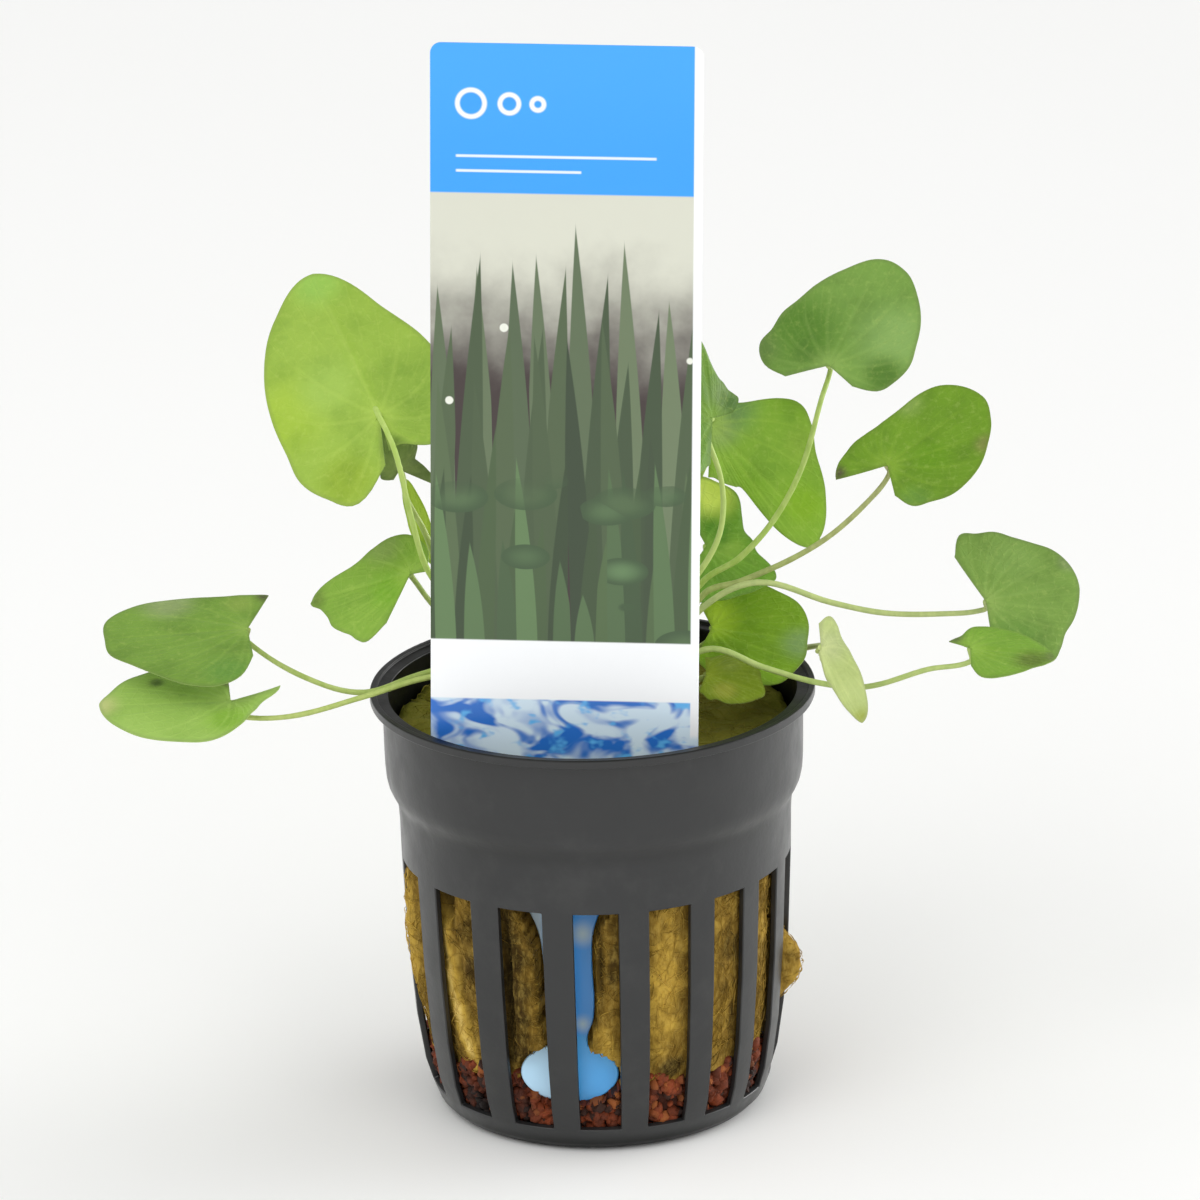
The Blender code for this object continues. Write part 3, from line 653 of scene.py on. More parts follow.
def over_places(nominal, height, places):
    """The sum of soft spots, each given as nominal angle, height, half angle, half height and strength."""
    total = np.zeros_like(nominal)
    for centre, level, half_angle, half_height, strength in places:
        offset = (nominal - centre + 180) % 360 - 180
        total += strength * smooth_bump(offset, half_angle) * smooth_bump(height - level, half_height)
    return total


def wool_reach(nominal, height):
    """The radius of the wool's skin, before its rough grain."""
    nominal, height = np.broadcast_arrays(np.asarray(nominal, float), np.asarray(height, float))
    open_share = smooth_bump(height - (SLOT_BOTTOM + SLOT_TOP) / 2, (SLOT_TOP - SLOT_BOTTOM) / 2) ** 0.25
    reach = inside_radius(height - WOOL_STEP_CLEAR) + WOOL_SWELL * slot_share(nominal) * open_share
    reach = reach - over_places(nominal, height, WOOL_HOLLOWS)
    for *place, swell in WOOL_BULGES:
        reach = reach + swell * np.sqrt(over_places(nominal, height, [(*place, 1.0)]))
    return reach


def wool_finish():
    finish = Finish("rock wool", Roughness=0.9, Specular_IOR_Level=0.15)
    uneven = finish.cloud(3.5, 4.0).rise(0.25, 0.75, -0.45, 0.45)
    tone_and_painted_light = finish.mark("tone_and_painted_light") + uneven
    strands = finish.cloud(0.55, 4.0, 0.65, finish.scaled(finish.place, (1.0, 1.0, 0.4)))
    # Painted light and shade: the marked places run from dark brown to a pale lit yellow, on top of the
    # wool's own tone
    finish.paint(
        (62, 46, 14),
        (tone_and_painted_light.rise(-0.9, 0.1), (128, 100, 36)),
        (tone_and_painted_light.rise(0.0, 1.0), (190, 156, 64)),
        (tone_and_painted_light.rise(1.0, 2.2), (238, 210, 124)),
        (strands.rise(0.42, 0.72, 0.0, 0.3), (208, 178, 92)),
        (strands.rise(0.5, 0.25, 0.0, 0.35), (84, 62, 20)),
        (finish.mark("damp"), (112, 114, 36)),
        # Painted shade: the hollows are darker
        (finish.mark("painted_shade"), (40, 30, 12)),
    )
    finish.bump(strands, 0.2)
    return finish


def fibres(centres, normals, radius):
    """Thin three-sided strands along rows of points. centres and normals are (strand, point, xyz)."""
    count, length, _ = centres.shape
    along = np.gradient(centres, axis=1)
    along /= np.linalg.norm(along, axis=2, keepdims=True)
    side = np.cross(along, normals)
    side /= np.linalg.norm(side, axis=2, keepdims=True)
    out = np.cross(side, along)
    taper = np.sin(np.linspace(0.12, pi - 0.12, length)) ** 0.5
    radii = radius[:, None, None] * taper[None, :, None]
    corners = [radians(a) for a in (90, 210, 330)]
    rings = np.stack([centres + radii * (cos(a) * side + sin(a) * out) for a in corners], 2)
    points = rings.reshape(-1, 3)
    base = (np.arange(count)[:, None] * length + np.arange(length - 1)).ravel() * 3
    quads = [
        np.stack([base + k, base + (k + 1) % 3, base + 3 + (k + 1) % 3, base + 3 + k], -1) for k in range(3)
    ]
    first = np.arange(count) * length * 3
    last = first + (length - 1) * 3
    caps = np.concatenate([
        np.stack([first + 2, first + 1, first], -1),
        np.stack([last, last + 1, last + 2], -1),
    ])
    return points, np.concatenate(quads).tolist() + caps.tolist()


def wander(random, bend, lengths, caps):
    """The points of curling strands on a flat sheet, as (across, up). No strand is longer than its cap."""
    count = len(caps)
    heading = random.uniform(0, 2 * pi, count)[:, None]
    turn = heading + random.normal(0, bend, count)[:, None] * FIBRE_SHARES
    length = np.minimum(random.uniform(*lengths, count), caps)[:, None]
    return [np.cumsum(step, 1) * length / len(FIBRE_SHARES) for step in (np.cos(turn), np.sin(turn))]


def wool_strands(random):
    """Loose strands that lie on the wool's side."""
    nominal = random.uniform(-180, 180, FIBRE_COUNT)
    nominal = np.where(slot_share(nominal) > 0, nominal, np.round(nominal / SLOT_PITCH) * SLOT_PITCH)
    height = random.uniform(WOOL_BOTTOM + 0.5, SLOT_TOP + 1.0, FIBRE_COUNT)
    near_lump = np.abs(nominal - LUMP_NOMINAL) < 2 * LUMP_HALF_ANGLE
    near_lump &= np.abs(height - LUMP_HEIGHT) < 2 * LUMP_HALF_HEIGHT
    across, up = wander(random, 1.4, SIDE_FIBRES, np.where(near_lump, LUMP_FIBRE, SIDE_FIBRES[1]))
    levels = np.clip(height[:, None] + up, WOOL_BOTTOM, SLOT_TOP + 3)
    around = nominal[:, None] + np.degrees(across / WOOL_RADIUS)
    stand = random.uniform(0.02, 0.16, FIBRE_COUNT)[:, None] * np.sin(pi * FIBRE_SHARES) + 0.05
    centres = round_points(wool_reach(around, levels) + stand, around, levels)
    centres = push_behind_card(centres.reshape(-1, 3)).reshape(centres.shape)
    normals = round_points(1.0, around, 0.0)
    points, faces = fibres(centres, normals, random.uniform(0.6, 1.5, FIBRE_COUNT) * FIBRE_RADIUS)
    # The strands take the tone, painted light and painted shade of the wool under them
    tone_and_painted_light = over_places(around, levels, WOOL_TONES_AND_PAINTED_LIGHT) + random.normal(0.1, 0.15, FIBRE_COUNT)[:, None]
    return points, faces, {"damp": 0.0, "painted_shade": 0.0, "tone_and_painted_light": np.repeat(tone_and_painted_light.ravel(), 3)}


def top_strands(random):
    """Loose strands on the wool's top."""
    radius = WOOL_TOP_RADIUS * np.sqrt(random.uniform(0, 1, TOP_FIBRE_COUNT))
    angle = random.uniform(0, 2 * pi, TOP_FIBRE_COUNT)
    across, up = wander(random, 1.6, TOP_FIBRES, np.full(TOP_FIBRE_COUNT, TOP_FIBRES[1]))
    x = (radius * np.cos(angle))[:, None] + across
    y = (radius * np.sin(angle))[:, None] + up
    tuck = np.minimum(1.0, WOOL_TOP_RADIUS / np.maximum(np.hypot(x, y), 1e-6))
    x, y = x * tuck, y * tuck
    stand = random.uniform(0.1, 0.9, TOP_FIBRE_COUNT)[:, None] * np.sin(pi * FIBRE_SHARES) + 0.1
    centres = np.stack([x, y, wool_top_height(np.hypot(x, y)) + stand], -1)
    normals = np.broadcast_to((0.0, 0.0, 1.0), centres.shape)
    points, faces = fibres(centres, normals, random.uniform(0.8, 1.6, TOP_FIBRE_COUNT) * FIBRE_RADIUS)
    return points, faces, {"damp": 0.7, "painted_shade": 0.0, "tone_and_painted_light": 0.0}


def wool_top_height(radius):
    return WOOL_TOP - WOOL_TOP_DOME * np.clip(radius / WOOL_TOP_RADIUS, 0, 1) ** 2


def push_behind_card(points, clear=0.55):
    """Moves points that stand in the label's way, or in front of its neck and foot, to behind it."""
    turn = np.array(LABEL_TURN)
    own = (points - np.array(LABEL_FOOT)) @ turn
    across, depth, up = own.T
    half = card_half_width(up) + 0.5
    in_way = (np.abs(across - card_shift(up)) < half) & (up < CARD_CLEAR_TOP)
    in_way &= (depth > -CARD_FRONT) & (depth < clear)
    own[:, 1] = np.where(in_way, clear, depth)
    return own @ turn.T + np.array(LABEL_FOOT)


def round_grid(columns, rows, bottom, top):
    """The nominal angles and the heights of a grid of points on a round wall."""
    nominals = np.linspace(-180, 180, columns, endpoint=False)
    return np.meshgrid(nominals, np.linspace(bottom, top, rows))


def roughened(skin, around, height, depth, size, octaves):
    """The radii of a round skin, with fractal grain of a depth and a size."""
    points = round_points(skin, around, height).reshape(-1, 3)
    return skin + depth * grain(points, size, octaves).reshape(skin.shape)


def make_rock_wool():
    random = np.random.default_rng(SEED)
    around, height = round_grid(WOOL_COLUMNS, WOOL_ROWS, WOOL_BOTTOM, WOOL_SHOULDER)
    skin = roughened(wool_reach(around, height), around, height, WOOL_ROUGH, 1.6, 4) - 0.1
    rings = [round_points(skin, around, height).reshape(-1, 3)]
    for share in np.linspace(1, 0, WOOL_TOP_RINGS + 1)[:-1]:
        ring = round_points(np.minimum(skin[-1], WOOL_TOP_RADIUS + 0.4) * share, around[0], 0.0)
        ring[:, 2] = wool_top_height(np.hypot(ring[:, 0], ring[:, 1]))
        ring[:, 2] += 0.7 * grain(ring, 3.0, 4)
        rings.append(ring)
    points = push_behind_card(np.concatenate(rings))
    on_top = np.zeros(WOOL_TOP_RINGS * WOOL_COLUMNS)
    marks = {
        "damp": np.where(points[:, 2] > WOOL_SHOULDER - 1, 0.8, 0.0),
        # Painted shade in the hollows
        "painted_shade": np.append(np.clip(over_places(around, height, WOOL_HOLLOWS) / 2.0, 0, 0.85), on_top),
        # The wool's own tone, with painted light and shade in places
        "tone_and_painted_light": np.append(over_places(around, height, WOOL_TONES_AND_PAINTED_LIGHT), on_top),
    }
    plug = points, capped_faces(WOOL_ROWS + WOOL_TOP_RINGS, WOOL_COLUMNS), marks
    parts = joined([plug, wool_strands(random), top_strands(random)])
    add_piece("wool_plug", "rock_wool", "rock_wool", wool_finish(), *parts)


def clay_finish():
    finish = Finish("red clay", Roughness=0.75, Specular_IOR_Level=0.3)
    finish.paint(
        (80, 34, 14),
        (finish.cloud(2.6, 3.0).rise(0.35, 0.65), (128, 56, 22)),
        (finish.mark("kind").rise(0.78, 0.84), (50, 26, 16)),
        (finish.mark("kind").rise(0.14, 0.08), (144, 80, 36)),
        # Painted shade: the core and the grains in the marked places are darker
        (finish.mark("painted_shade"), (22, 12, 9)),
    )
    finish.bump(finish.cloud(0.5, 2.0), 0.06)
    return finish


def make_clay():
    """A rough core painted dark as shade between the grains, and grains of clay all over its side."""
    random = np.random.default_rng(SEED + 1)
    around, height = round_grid(CLAY_COLUMNS, CLAY_ROWS, CLAY_BOTTOM, CLAY_TOP)
    skin = roughened(inside_radius(height - 0.6) - 0.5, around, height, 0.5, 1.2, 3)
    core = round_points(skin, around, height).reshape(-1, 3)
    parts = [(core, capped_faces(CLAY_ROWS, CLAY_COLUMNS), {"painted_shade": 0.7, "kind": 0.5})]
    ball_points, ball_faces = unit_ball()
    around = random.uniform(-180, 180, CLAY_GRAINS)
    ragged = CLAY_TOP + 0.7 * np.sin(np.radians(7 * around)) + 0.4 * np.sin(np.radians(23 * around + 40))
    for nominal, level in zip(around, random.uniform(CLAY_BOTTOM + 0.3, ragged)):
        size = random.uniform(0.45, 0.95)
        stretch = random.uniform(0.7, 1.3, 3)
        turn = random.uniform(0, 2 * pi)
        spin = np.array(Matrix.Rotation(turn, 3, Vector(random.normal(size=3)).normalized()))
        lumps = 1 + 0.12 * random.normal(size=(len(ball_points), 1))
        reach = inside_radius(level - 0.6) - size * 0.55 + 0.35 * slot_share(nominal)
        ball = (ball_points * lumps * stretch * size) @ spin.T + round_points(reach, nominal, level)
        # Painted shade on the grains in the marked places
        painted_shade = min(1.0, float(over_places(np.array(nominal), level, CLAY_PAINTED_SHADE)))
        parts.append((ball, ball_faces, {"painted_shade": painted_shade, "kind": random.uniform(0, 1)}))
    points, faces, marks = joined(parts)
    add_piece("clay_grit", "clay_layer", "clay", clay_finish(), push_behind_card(points), faces, marks, 60)


def unit_ball():
    """A small faceted grain: three rings of corners between two poles."""
    points = []
    for radius, height, count in ((0, -1, 1), (0.8, -0.6, 6), (1, 0, 6), (0.8, 0.6, 6), (0, 1, 1)):
        angles = [2 * pi * k / count for k in range(count)]
        points += [(radius * cos(angle), radius * sin(angle), height) for angle in angles]
    faces = [[0, 1 + (k + 1) % 6, 1 + k] for k in range(6)]
    for ring in range(2):
        low = 1 + 6 * ring
        faces += [[low + k, low + (k + 1) % 6, low + 6 + (k + 1) % 6, low + 6 + k] for k in range(6)]
    faces += [[13 + k, 13 + (k + 1) % 6, 19] for k in range(6)]
    return np.array(points), faces


# Label
LABEL_TURN = (
    Matrix.Rotation(radians(LABEL_YAW), 3, "Z")
    @ Matrix.Rotation(radians(LABEL_LEAN_RIGHT), 3, "Y")
    @ Matrix.Rotation(radians(-LABEL_LEAN_BACK), 3, "X")
)


def card_shift(up):
    """The card's middle stands a little to the left of its foot's."""
    return CARD_SHIFT * np.clip((up - CARD_SHIFT_FROM) / (CARD_SHIFT_TO - CARD_SHIFT_FROM), 0, 1)


def card_half_width(up):
    halves, ups = zip(*reversed(LABEL_SHOULDER))
    neck = np.interp(up, ups, halves)
    share = (np.asarray(up) - FOOT_MIDDLE) / FOOT_HALF_HEIGHT
    foot = FOOT_HALF_WIDTH * np.sqrt(np.clip(1 - share ** 2, 0, 1))
    return np.maximum(np.where(up < 0, 0, neck), foot)


def card_outline():
    """The card's outline in its own plane, anticlockwise from the foot's lowest point, as (across, up)."""
    neck_angle = np.arccos(LABEL_SHOULDER[-1][0] / FOOT_HALF_WIDTH)
    foot = [
        (FOOT_HALF_WIDTH * cos(a), FOOT_MIDDLE + FOOT_HALF_HEIGHT * sin(a))
        for a in np.linspace(-pi / 2, neck_angle, 28)
    ]
    side = smooth_line([foot[-1], *reversed(LABEL_SHOULDER)], 5)[1:]
    half = LABEL_SHOULDER[0][0]
    corner = [
        (half - LABEL_CORNER + LABEL_CORNER * cos(a), LABEL_TOP - LABEL_CORNER + LABEL_CORNER * sin(a))
        for a in np.linspace(0, pi / 2, 9)
    ]
    right = foot + side + corner
    left = [(-across, up) for across, up in reversed(right)]
    return [(across + float(card_shift(up)), up) for across, up in right + left[:-1]]


def smooth_line(knots, steps):
    return [(p.x, p.z) for p in smooth_path([(across, 0, up) for across, up in knots], steps)]


def label_finish():
    """The print, from the top: a blue header with rings and plain lines, a panel of reeds and pads on a pale
    to brown ground, a plain white band and a strip of waves. The card's back is plain.
    """
    finish = Finish("label card", Roughness=0.32, Coat_Weight=0.15)
    spot = finish.mark("print", "Vector")
    across, front, up = finish.parts(spot)
    flat = finish.scaled(spot, (1.0, 0.0, 1.0))
    white = (248, 250, 252)
    blue = (50, 158, 250)

    def between(value, low, high, soft=0.12):
        return value.rise(low - soft, low + soft) * value.rise(high + soft, high - soft)

    def disc(x, z, radius, soft=0.15):
        offset = finish.node("VectorMath", {0: flat, 1: (x, 0.0, z)}, "Value", operation="DISTANCE")
        return offset.rise(radius + soft, radius - soft)

    def chances(strip, seed):
        place = finish.node("CombineXYZ", {0: strip, 1: seed})
        return finish.parts(finish.node("TexWhiteNoise", {0: place}, 1), "SeparateColor")

    def reeds(behind, pitch, seed, tall, spread, width, lean, light, dark):
        """Blades that taper to a point: one in each strip of a pitch, with its own height, place and tone."""
        height = up - REED_FOOT
        bent = height.at_least(0.0) ** 1.5 * lean + across
        cell = bent * (1 / pitch) + seed
        side, size, tone = chances(cell.apply("FLOOR"), seed)
        away = abs(cell.apply("FRACT") - (side * 0.5 + 0.25)) * pitch
        share = height / (size * (-spread * tall) + tall)
        half = share.at_least(0.0) ** 2.2 * -width + width
        mask = (half - away).rise(-0.06, 0.1)
        return finish.mix(mask, behind, finish.mix(tone, light, dark))

    header = finish.mix(up.rise(HEADER_BOTTOM, LABEL_TOP), blue, (60, 164, 246))
    for x, z, radius in ((-12.2, 120.6, 1.9), (-7.6, 120.6, 1.4), (-4.2, 120.6, 1.0)):
        header = finish.layered(header, (disc(x, z, radius), white), (disc(x, z, radius - 0.55), blue))
    for level, low, high in ((114.2, -14.0, 10.0), (112.4, -14.0, 1.0)):
        line = between(up, level - 0.16, level + 0.16, 0.08) * between(across, low, high)
        header = finish.mix(line * 0.8, header, white)

    rough_up = finish.cloud(7.0, 4.0, vector=flat) * 14.0 + up
    panel = finish.mix(rough_up.rise(92.0, 112.0), (58, 46, 44), (212, 213, 198))
    for reed in REEDS:
        panel = reeds(panel, *reed)
    pads = finish.scaled(flat, (1.0, 1.0, 1.9))
    pad_centre = finish.cells(8.5, vector=pads, random=0.85)
    pad_kind = finish.parts(finish.cells(8.5, output="Color", vector=pads, random=0.85), "SeparateColor")
    pad = pad_centre.rise(0.46, 0.44) * pad_kind[0].rise(0.3, 0.31) * rough_up.rise(84.0, 77.0)
    shades = (pad_kind[1], (112, 148, 98)), (pad_centre.rise(0.1, 0.46), (60, 84, 52))
    pad_tone = finish.layered((76, 100, 64), *shades)
    blossom = finish.cells(5.0, vector=flat)
    blossom_kind = finish.parts(finish.cells(5.0, output="Color", vector=flat), "SeparateColor")
    bloom = blossom.rise(0.13, 0.1) * blossom_kind[2].rise(0.6, 0.61) * between(up, 66.0, 98.0, 3.0)
    panel = finish.layered(panel, (pad, pad_tone), (bloom, (232, 234, 222)))

    wave_place = finish.scaled(flat, (0.8, 1.0, 1.3))
    waves = finish.cloud(4.6, 2.0, 0.45, wave_place, 1.0)
    foot = across + finish.cloud(2.0, vector=flat)
    foot = finish.mix(foot.rise(-1.4, 0.6), (186, 226, 252), (84, 182, 255))
    light = disc(1.5, 17.2, 1.1, 1.2).at_least(disc(1.6, 5.6, 0.7, 1.0))
    light = light.at_least(across.rise(-2.4, -4.0))
    neck = finish.mix(light, (76, 168, 255), (196, 222, 238))
    water = finish.layered(
        (40, 112, 204),
        (waves.rise(0.42, 0.6), (214, 234, 248)),
        (finish.cloud(2.4, 2.0, vector=wave_place).rise(0.55, 0.7), (96, 182, 242)),
        (up.rise(24.0, 20.0), neck),
        (up.rise(4.6, 3.8), foot),
    )

    margin = across.rise(PRINT_RIGHT - 0.1, PRINT_RIGHT + 0.1)
    back = finish.mix(finish.cloud(12.0, 3.0), (228, 231, 233), (240, 241, 241))
    finish.paint(
        panel,
        (up.rise(HEADER_BOTTOM - 0.12, HEADER_BOTTOM + 0.12), header),
        (up.rise(PANEL_BOTTOM + 0.12, PANEL_BOTTOM - 0.12), white),
        (up.rise(BAND_BOTTOM + 0.12, BAND_BOTTOM - 0.12), water),
        (margin * up.rise(42.0, 43.0), white),
        (front.rise(0.5, -0.5), back),
    )
    finish.bump(finish.cloud(1.2, 2.0), 0.008)
    return finish


def make_label():
    """The card as a flat plate with an eased edge: its two faces are a little smaller than its middle."""
    outline = np.array(card_outline())
    tangent = np.roll(outline, -1, 0) - np.roll(outline, 1, 0)
    tangent /= np.linalg.norm(tangent, axis=1, keepdims=True)
    inward = np.stack([-tangent[:, 1], tangent[:, 0]], -1)
    half = LABEL_THICKNESS / 2
    layers = ((half, 0.12), (half - 0.1, 0.0), (-half + 0.1, 0.0), (-half, 0.12))
    own = np.concatenate([np.insert(outline + inward * inset, 1, depth, axis=1) for depth, inset in layers])
    points = own @ np.array(LABEL_TURN).T + np.array(LABEL_FOOT)
    marks = own.copy()
    marks[:, 1] = np.where(own[:, 1] > 0, -1.0, 1.0)
    faces = capped_faces(len(layers), len(outline))
    add_piece("plant_label", "label", "label", label_finish(), points, faces, {"print": marks}, 30)


# Plant
def leaf_axes(leaf):
    """The blade's axes: along the midrib, to its left and out of its upper face."""
    heading, rise, roll = (radians(a) for a in leaf.turn)
    forward = Vector((cos(rise) * cos(heading), cos(rise) * sin(heading), sin(rise)))
    level = Vector((-sin(heading), cos(heading), 0))
    above = forward.cross(level)
    left = cos(roll) * level + sin(roll) * above
    return forward, left, forward.cross(left)


def reach_at(leaf, shares):
    """The blade's reach at each share: -1 is the right lobe's tip, 0 the apex and 1 the left lobe's tip."""
    reaches = np.zeros_like(shares)
    for sign, side, other in ((1, leaf.left, leaf.right), (-1, leaf.right, leaf.left)):
        knots = np.array([other[1], leaf.tip, *side[1:], side[-1]], float)
        mine = shares * sign >= 0
        place = np.abs(shares[mine]) * (len(side) - 1)
        index = np.minimum(place.astype(int), len(side) - 2)
        part = place - index
        before, start, end, after = (knots[index + k] for k in range(4))
        reaches[mine] = 0.5 * (
            2 * start
            + (end - before) * part
            + (2 * before - 5 * start + 4 * end - after) * part ** 2
            + (3 * start - before - 3 * end + after) * part ** 3
        )
    return reaches


def blade_surface(leaf, phase, across, out):
    """Points of the blade's middle surface as (x, y, lift) in its own axes, and its width along a ring."""
    shares = across * (1 - VEIN_BEND * out ** 2 * (1 - np.abs(across) ** 3))
    spans = np.radians(np.where(shares >= 0, leaf.left[0], leaf.right[0]))
    angles = shares * spans
    reach = reach_at(leaf, shares) * out
    x = reach * np.cos(angles)
    y = reach * np.sin(angles)
    size = leaf.tip
    lift = leaf.cup * (x * x + y * y) / size ** 2 - leaf.droop * np.clip(x / size, 0, None) ** 2
    lift += leaf.fold * np.abs(y)
    lift += leaf.wave * out ** 2.5 * np.sin(3.3 * angles + phase)
    return x, y, lift, reach, reach * spans


def leaf_finish(place, leaf):
    finish = Finish("blade " + place, Specular_IOR_Level=0.24)
    across = finish.mark("across")
    out = finish.mark("out")
    span = finish.mark("span")
    broad = finish.cloud(4.5, 3.0)
    fine = finish.cloud(0.7, 4.0, 0.6)
    base = finish.mark("tone", "Color")
    base = finish.mix(broad.rise(0.35, 0.7, 0.0, 0.16), base, (255, 255, 255), "SOFT_LIGHT")
    base = finish.mix(broad.rise(0.5, 0.3, 0.0, 0.18), base, (60, 60, 60), "SOFT_LIGHT")
    gap = across.apply("PINGPONG", VEIN_SPACING / 2)
    vein = (gap * span).rise(0.42, 0.06) * out.rise(1.0, 0.5)
    gap = (broad * 0.02 + across).apply("PINGPONG", VEIN_SPACING / 6)
    twig = (gap * span).rise(0.24, 0.04) * out.rise(0.35, 0.65)
    net = finish.cells(1.3, "DISTANCE_TO_EDGE").rise(0.09, 0.01)
    pale = tuple(min(255, c + more) for c, more in zip(leaf.tone, (50, 42, 30)))
    rim = tuple(c * 0.8 + more for c, more in zip(leaf.tone, (16, 12, 12)))
    base = finish.layered(
        base,
        (fine.rise(0.5, 0.75, 0.0, 0.1), (226, 238, 140)),
        (vein * 0.11 + twig * 0.06 + net * 0.05, pale),
        ((out * finish.mark("reach")).rise(3.0, 0.4, 0.0, 0.28), pale),
        (finish.mark("edge").rise(0.6, 0.1, 0.0, 0.5), rim),
    )
    other = finish.mix(0.5, base, (84, 130, 40)) if leaf.under else finish.mix(0.35, base, (190, 204, 140))
    finish.paint(base, (finish.mark("far"), other))
    finish.set("Roughness", fine.rise(0.3, 0.7, 0.42, 0.56))
    finish.bump(twig + net, 0.02)
    finish.bump(fine, 0.03)
    return finish


def make_blade(place, leaf, phase):
    """A thin shell: an upper and a lower skin, each a fan of rings round the joint, stitched at the edge."""
    columns = np.linspace(-1, 1, BLADE_COLUMNS + 1)
    rings = np.linspace(0, 1, BLADE_RINGS + 1)[1:]
    out, across = (v.ravel() for v in np.meshgrid(rings, columns, indexing="ij"))
    out = np.concatenate([[0.0], out])
    across = np.concatenate([[0.0], across])
    x, y, lift, reach, span = blade_surface(leaf, phase, across, out)
    full_reach = reach_at(leaf, across)
    sinus = reach * np.sin(np.clip((1 - np.abs(across)) * 3.0, 0, pi / 2))
    edge = np.minimum(full_reach * (1 - out), np.where(np.abs(across) > 0.5, np.maximum(sinus, 0.0), 9.0))
    gap = np.abs((across + VEIN_SPACING / 2) % VEIN_SPACING - VEIN_SPACING / 2)
    vein = np.exp(-((gap * span / 0.3) ** 2)) * np.clip(1.15 - out, 0, 1) * np.clip(out * 6, 0, 1)
    midrib = np.exp(-((y / 0.5) ** 2)) * np.where(x > -0.2, 1, 0) * np.clip(1.05 - out, 0, 1) ** 0.6
    thickness = EDGE_THICKNESS + (BLADE_THICKNESS - EDGE_THICKNESS) * np.minimum(edge / 0.8, 1)
    half = thickness / 2
    upper = lift + half - 0.07 * vein - 0.1 * midrib
    lower = lift - half - 0.06 * vein - leaf.keel * midrib
    forward, left, up = (np.array(v) for v in leaf_axes(leaf))
    joint = np.array(leaf.joint)
    skins = [joint + np.outer(x, forward) + np.outer(y, left) + np.outer(z, up) for z in (upper, lower)]
    count = len(out)
    width = BLADE_COLUMNS + 1
    top = [[0, 1 + c, 2 + c] for c in range(BLADE_COLUMNS)]
    top += [[a + 1, d + 1, c + 1, b + 1] for a, b, c, d in grid_faces(BLADE_RINGS, width, False)]
    bottom = [[corner + count for corner in reversed(face)] for face in top]
    right_edge = [1 + ring * width for ring in range(BLADE_RINGS)]
    margin = [1 + (BLADE_RINGS - 1) * width + c for c in range(1, BLADE_COLUMNS)]
    left_edge = [(ring + 1) * width for ring in range(BLADE_RINGS)]
    loop = [0] + right_edge + margin + left_edge[::-1]
    stitch = [[b, a, a + count, b + count] for a, b in zip(loop, loop[1:] + loop[:1])]
    marks = {"across": across, "out": out, "span": span, "edge": edge, "reach": full_reach}
    marks = {name: np.tile(values, 2) for name, values in marks.items()}
    marks["tone"] = np.tile(blade_tones(leaf, phase, x, y), (2, 1))
    marks["far"] = np.repeat([float(leaf.under), 1.0 - leaf.under], count)
    points = np.concatenate(skins)
    finish = leaf_finish(place, leaf)
    add_piece("blade_" + place, "leaf_" + place, "leaf", finish, points, top + bottom + stitch, marks, 60)


def blade_tones(leaf, phase, x, y):
    """The colour of each point of a blade: its tone, with soft patches of other colours."""
    tone = np.tile(linear(leaf.tone) * TONE_GAIN, (len(x), 1))
    for across, out, radius, colour in leaf.patches:
        centre = blade_surface(leaf, phase, np.array([across], float), np.array([out], float))
        away = np.hypot(x - centre[0][0], y - centre[1][0])
        share = np.clip(1.25 * smooth_bump(away, radius), 0, 1)[:, None]
        tone = tone * (1 - share) + linear(colour) * TONE_GAIN * share
    return np.column_stack([tone, np.ones(len(x))])


def smooth_path(knots, steps):
    """Points on one smooth curve through the knots."""
    knots = [Vector(k) for k in knots]
    ends = [2 * knots[0] - knots[1]] + knots + [2 * knots[-1] - knots[-2]]
    points = [knots[0]]
    for before, start, end, after in zip(ends, ends[1:], ends[2:], ends[3:]):
        reach = (end - start).length / 3
        out_of = (end - before).normalized() * reach
        into = (after - start).normalized() * reach
        points += interpolate_bezier(start, start + out_of, end - into, end, steps + 1)[1:]
    return points


def tube(path, radii, sides):
    """A closed round tube along a path, with its turn carried smoothly from ring to ring."""
    path = np.array(path)
    along = np.gradient(path, axis=0)
    along /= np.linalg.norm(along, axis=1, keepdims=True)
    side = np.cross(along[0], (0.0, 1.0, 0.2))
    points = []
    for centre, direction, radius in zip(path, along, radii):
        side = side - direction * side.dot(direction)
        side /= np.linalg.norm(side)
        other = np.cross(direction, side)
        for k in range(sides):
            angle = 2 * pi * k / sides
            points.append(centre + radius * (cos(angle) * side + sin(angle) * other))
    return np.array(points), capped_faces(len(path), sides)


def stalk_finish():
    finish = Finish("stalk", Roughness=0.45, Specular_IOR_Level=0.3)
    streak = finish.cloud(0.8, 2.0, 0.5, finish.scaled(finish.place, (1.0, 1.0, 0.3)))
    finish.paint(
        finish.mark("tone", "Color"),
        (streak.rise(0.35, 0.65, 0.0, 0.25), (206, 216, 140)),
        (finish.cloud(5.0, 2.0).rise(0.6, 0.8, 0.0, 0.2), (120, 116, 76)),
    )
    finish.bump(streak, 0.02)
    return finish


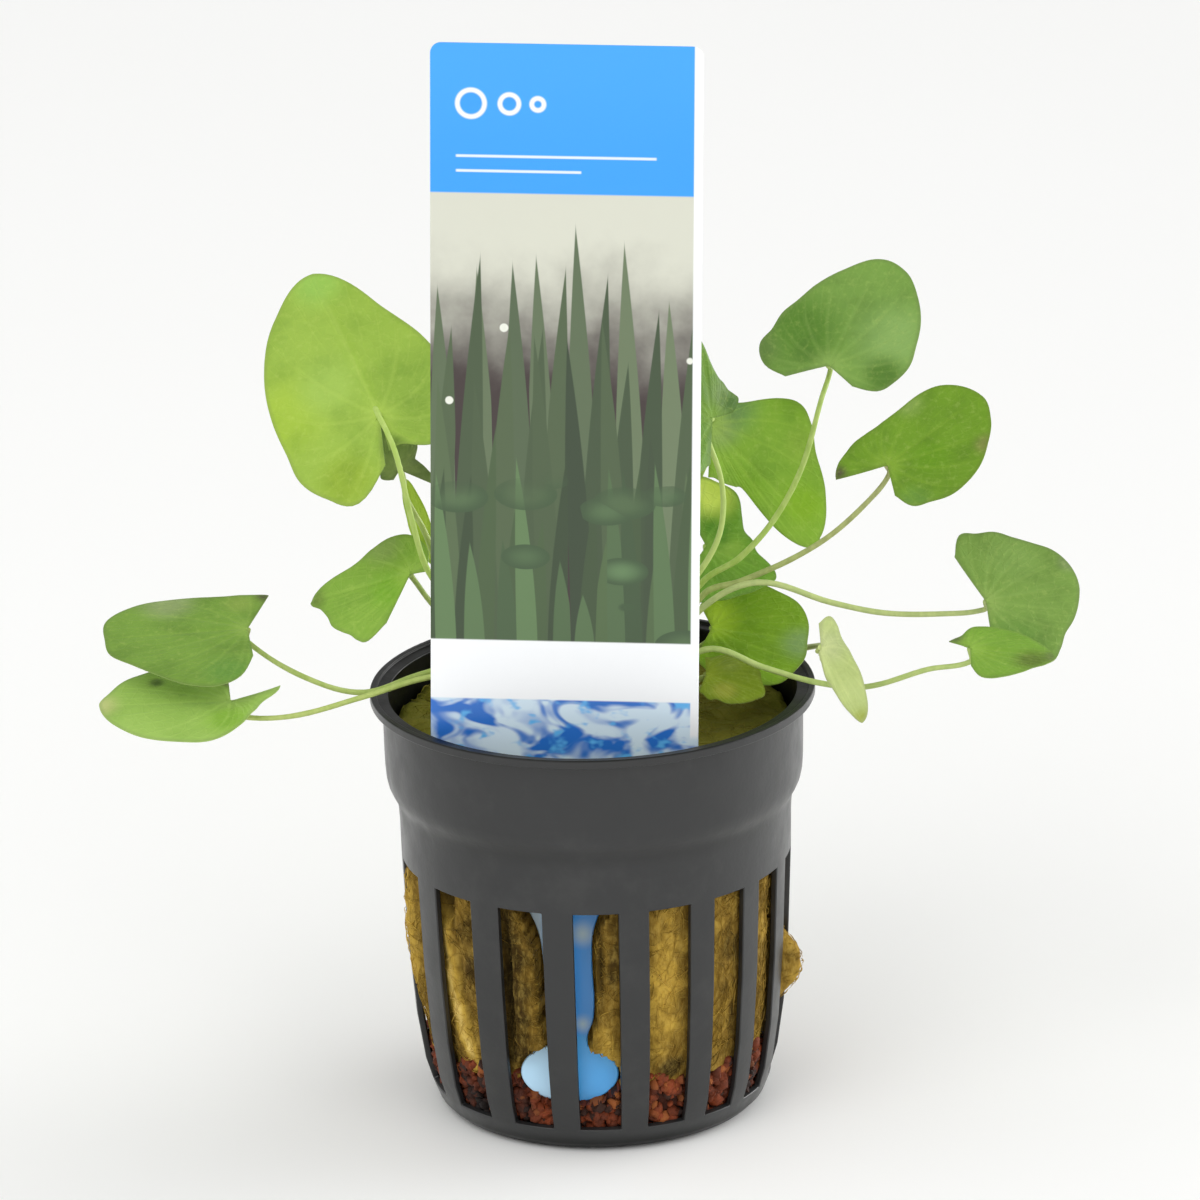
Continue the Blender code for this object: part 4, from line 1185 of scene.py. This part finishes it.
def make_stalk(place, leaf, finish):
    """The stem from inside the wool to the blade's lower face, where it spreads into the midrib."""
    _, _, up = leaf_axes(leaf)
    joint = Vector(leaf.joint)
    root = Vector((*leaf.root, CROWN_TOP))
    above_root = (leaf.root[0] * CROWN_SPREAD, leaf.root[1] * CROWN_SPREAD, CROWN_TOP + CROWN_RISE)
    knots = [root, above_root, *leaf.way, joint - up * STEM_HOOK, joint - up * BLADE_THICKNESS * 0.3]
    path = [root - Vector((0, 0, ROOT_DEPTH)), root - Vector((0, 0, ROOT_DEPTH / 2))] + smooth_path(knots, 8)
    share = np.linspace(0, 1, len(path))
    radii = STEM_BASE_RADIUS + (STEM_END_RADIUS - STEM_BASE_RADIUS) * share ** 0.8
    ripple = np.array([noise.noise(p * 0.4) for p in path])
    radii *= 1 + 0.06 * ripple
    to_joint = np.array([(p - joint).length for p in path])
    radii += 0.12 * np.exp(-to_joint / 0.9)
    points, faces = tube(path, radii, STEM_SIDES)
    colours = [linear(leaf.stalk[0]) * (1 - s) + linear(leaf.stalk[1]) * s for s in share]
    tone = np.repeat(np.column_stack([colours, np.ones(len(path))]), STEM_SIDES, axis=0)
    add_piece("stalk_" + place, "stem_" + place, "stem", finish, points, faces, {"tone": tone}, 60)


def make_plant():
    finish = stalk_finish()
    for index, (place, leaf) in enumerate(LEAVES.items()):
        make_blade(place, leaf, 1.7 * index)
        make_stalk(place, leaf, finish)


# Studio
def make_floor():
    half = FLOOR_SIZE / 2 * MM
    mesh = bpy.data.meshes.new("floor")
    corners = [(-half, -half, 0), (half, -half, 0), (half, half, 0), (-half, half, 0)]
    mesh.from_pydata(corners, [], [(0, 1, 2, 3)])
    finish = Finish("pale floor", Roughness=0.6)
    finish.paint((246, 246, 244), (finish.cloud(300.0, 2.0), (249, 249, 248)))
    mesh.materials.append(finish.material)
    put("floor", mesh)


def make_light(name, place, size, power):
    light = bpy.data.lights.new(name, "AREA")
    light.shape = "DISK"
    light.size = size * MM
    light.energy = power
    made = put(name, light)
    made.location = Vector(place) * MM
    aim = Vector(CAMERA_TARGET) - Vector(place)
    made.rotation_euler = aim.to_track_quat("-Z", "Y").to_euler()


def make_sky():
    """Soft light all round, more from above and in front, with a strong patch right and a weak one left."""
    world = bpy.data.worlds.new("studio")
    world.use_nodes = True
    bpy.context.scene.world = world
    sky = Nodes(world.node_tree)
    direction = sky.node("TexCoord", {}, "Generated")
    strength = SKY_BASE
    for axis, low, high, amount in SKY_PARTS:
        toward = sky.node("VectorMath", {0: direction, 1: axis}, "Value", operation="DOT_PRODUCT")
        strength = toward.rise(low, high, 0.0, amount) + strength
    background = world.node_tree.nodes["Background"]
    sky.feed(background.inputs["Color"], (255, 255, 255))
    sky.feed(background.inputs["Strength"], strength)


def make_studio():
    make_floor()
    make_sky()
    make_light("key", (-380, -520, 800), 600, 1.9)
    make_light("fill", (520, -620, 500), 700, 0.8)
    bpy.context.scene.view_settings.view_transform = "Standard"


def make_camera():
    elevation = radians(CAMERA_ELEVATION)
    roll = radians(CAMERA_ROLL)
    forward = Vector((0, cos(elevation), -sin(elevation)))
    level = Vector((1, 0, 0))
    above = level.cross(forward)
    right = cos(roll) * level - sin(roll) * above
    up = sin(roll) * level + cos(roll) * above
    camera = put("camera", bpy.data.cameras.new("camera"))
    place = (Vector(CAMERA_TARGET) - forward * CAMERA_DISTANCE) * MM
    axes = Matrix((right, up, -forward)).transposed().to_4x4()
    camera.matrix_world = Matrix.Translation(place) @ axes
    camera.data.lens = CAMERA_LENS
    camera.data.clip_end = 10.0
    bpy.context.scene.camera = camera


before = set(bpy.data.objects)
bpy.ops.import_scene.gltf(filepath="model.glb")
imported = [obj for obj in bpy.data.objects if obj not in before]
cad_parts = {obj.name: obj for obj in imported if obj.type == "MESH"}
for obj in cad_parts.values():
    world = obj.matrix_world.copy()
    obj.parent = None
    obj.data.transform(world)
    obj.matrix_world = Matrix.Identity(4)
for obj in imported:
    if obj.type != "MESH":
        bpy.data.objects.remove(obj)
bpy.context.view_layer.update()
make_camera()
make_studio()
make_pot()
make_rock_wool()
make_clay()
make_label()
make_plant()
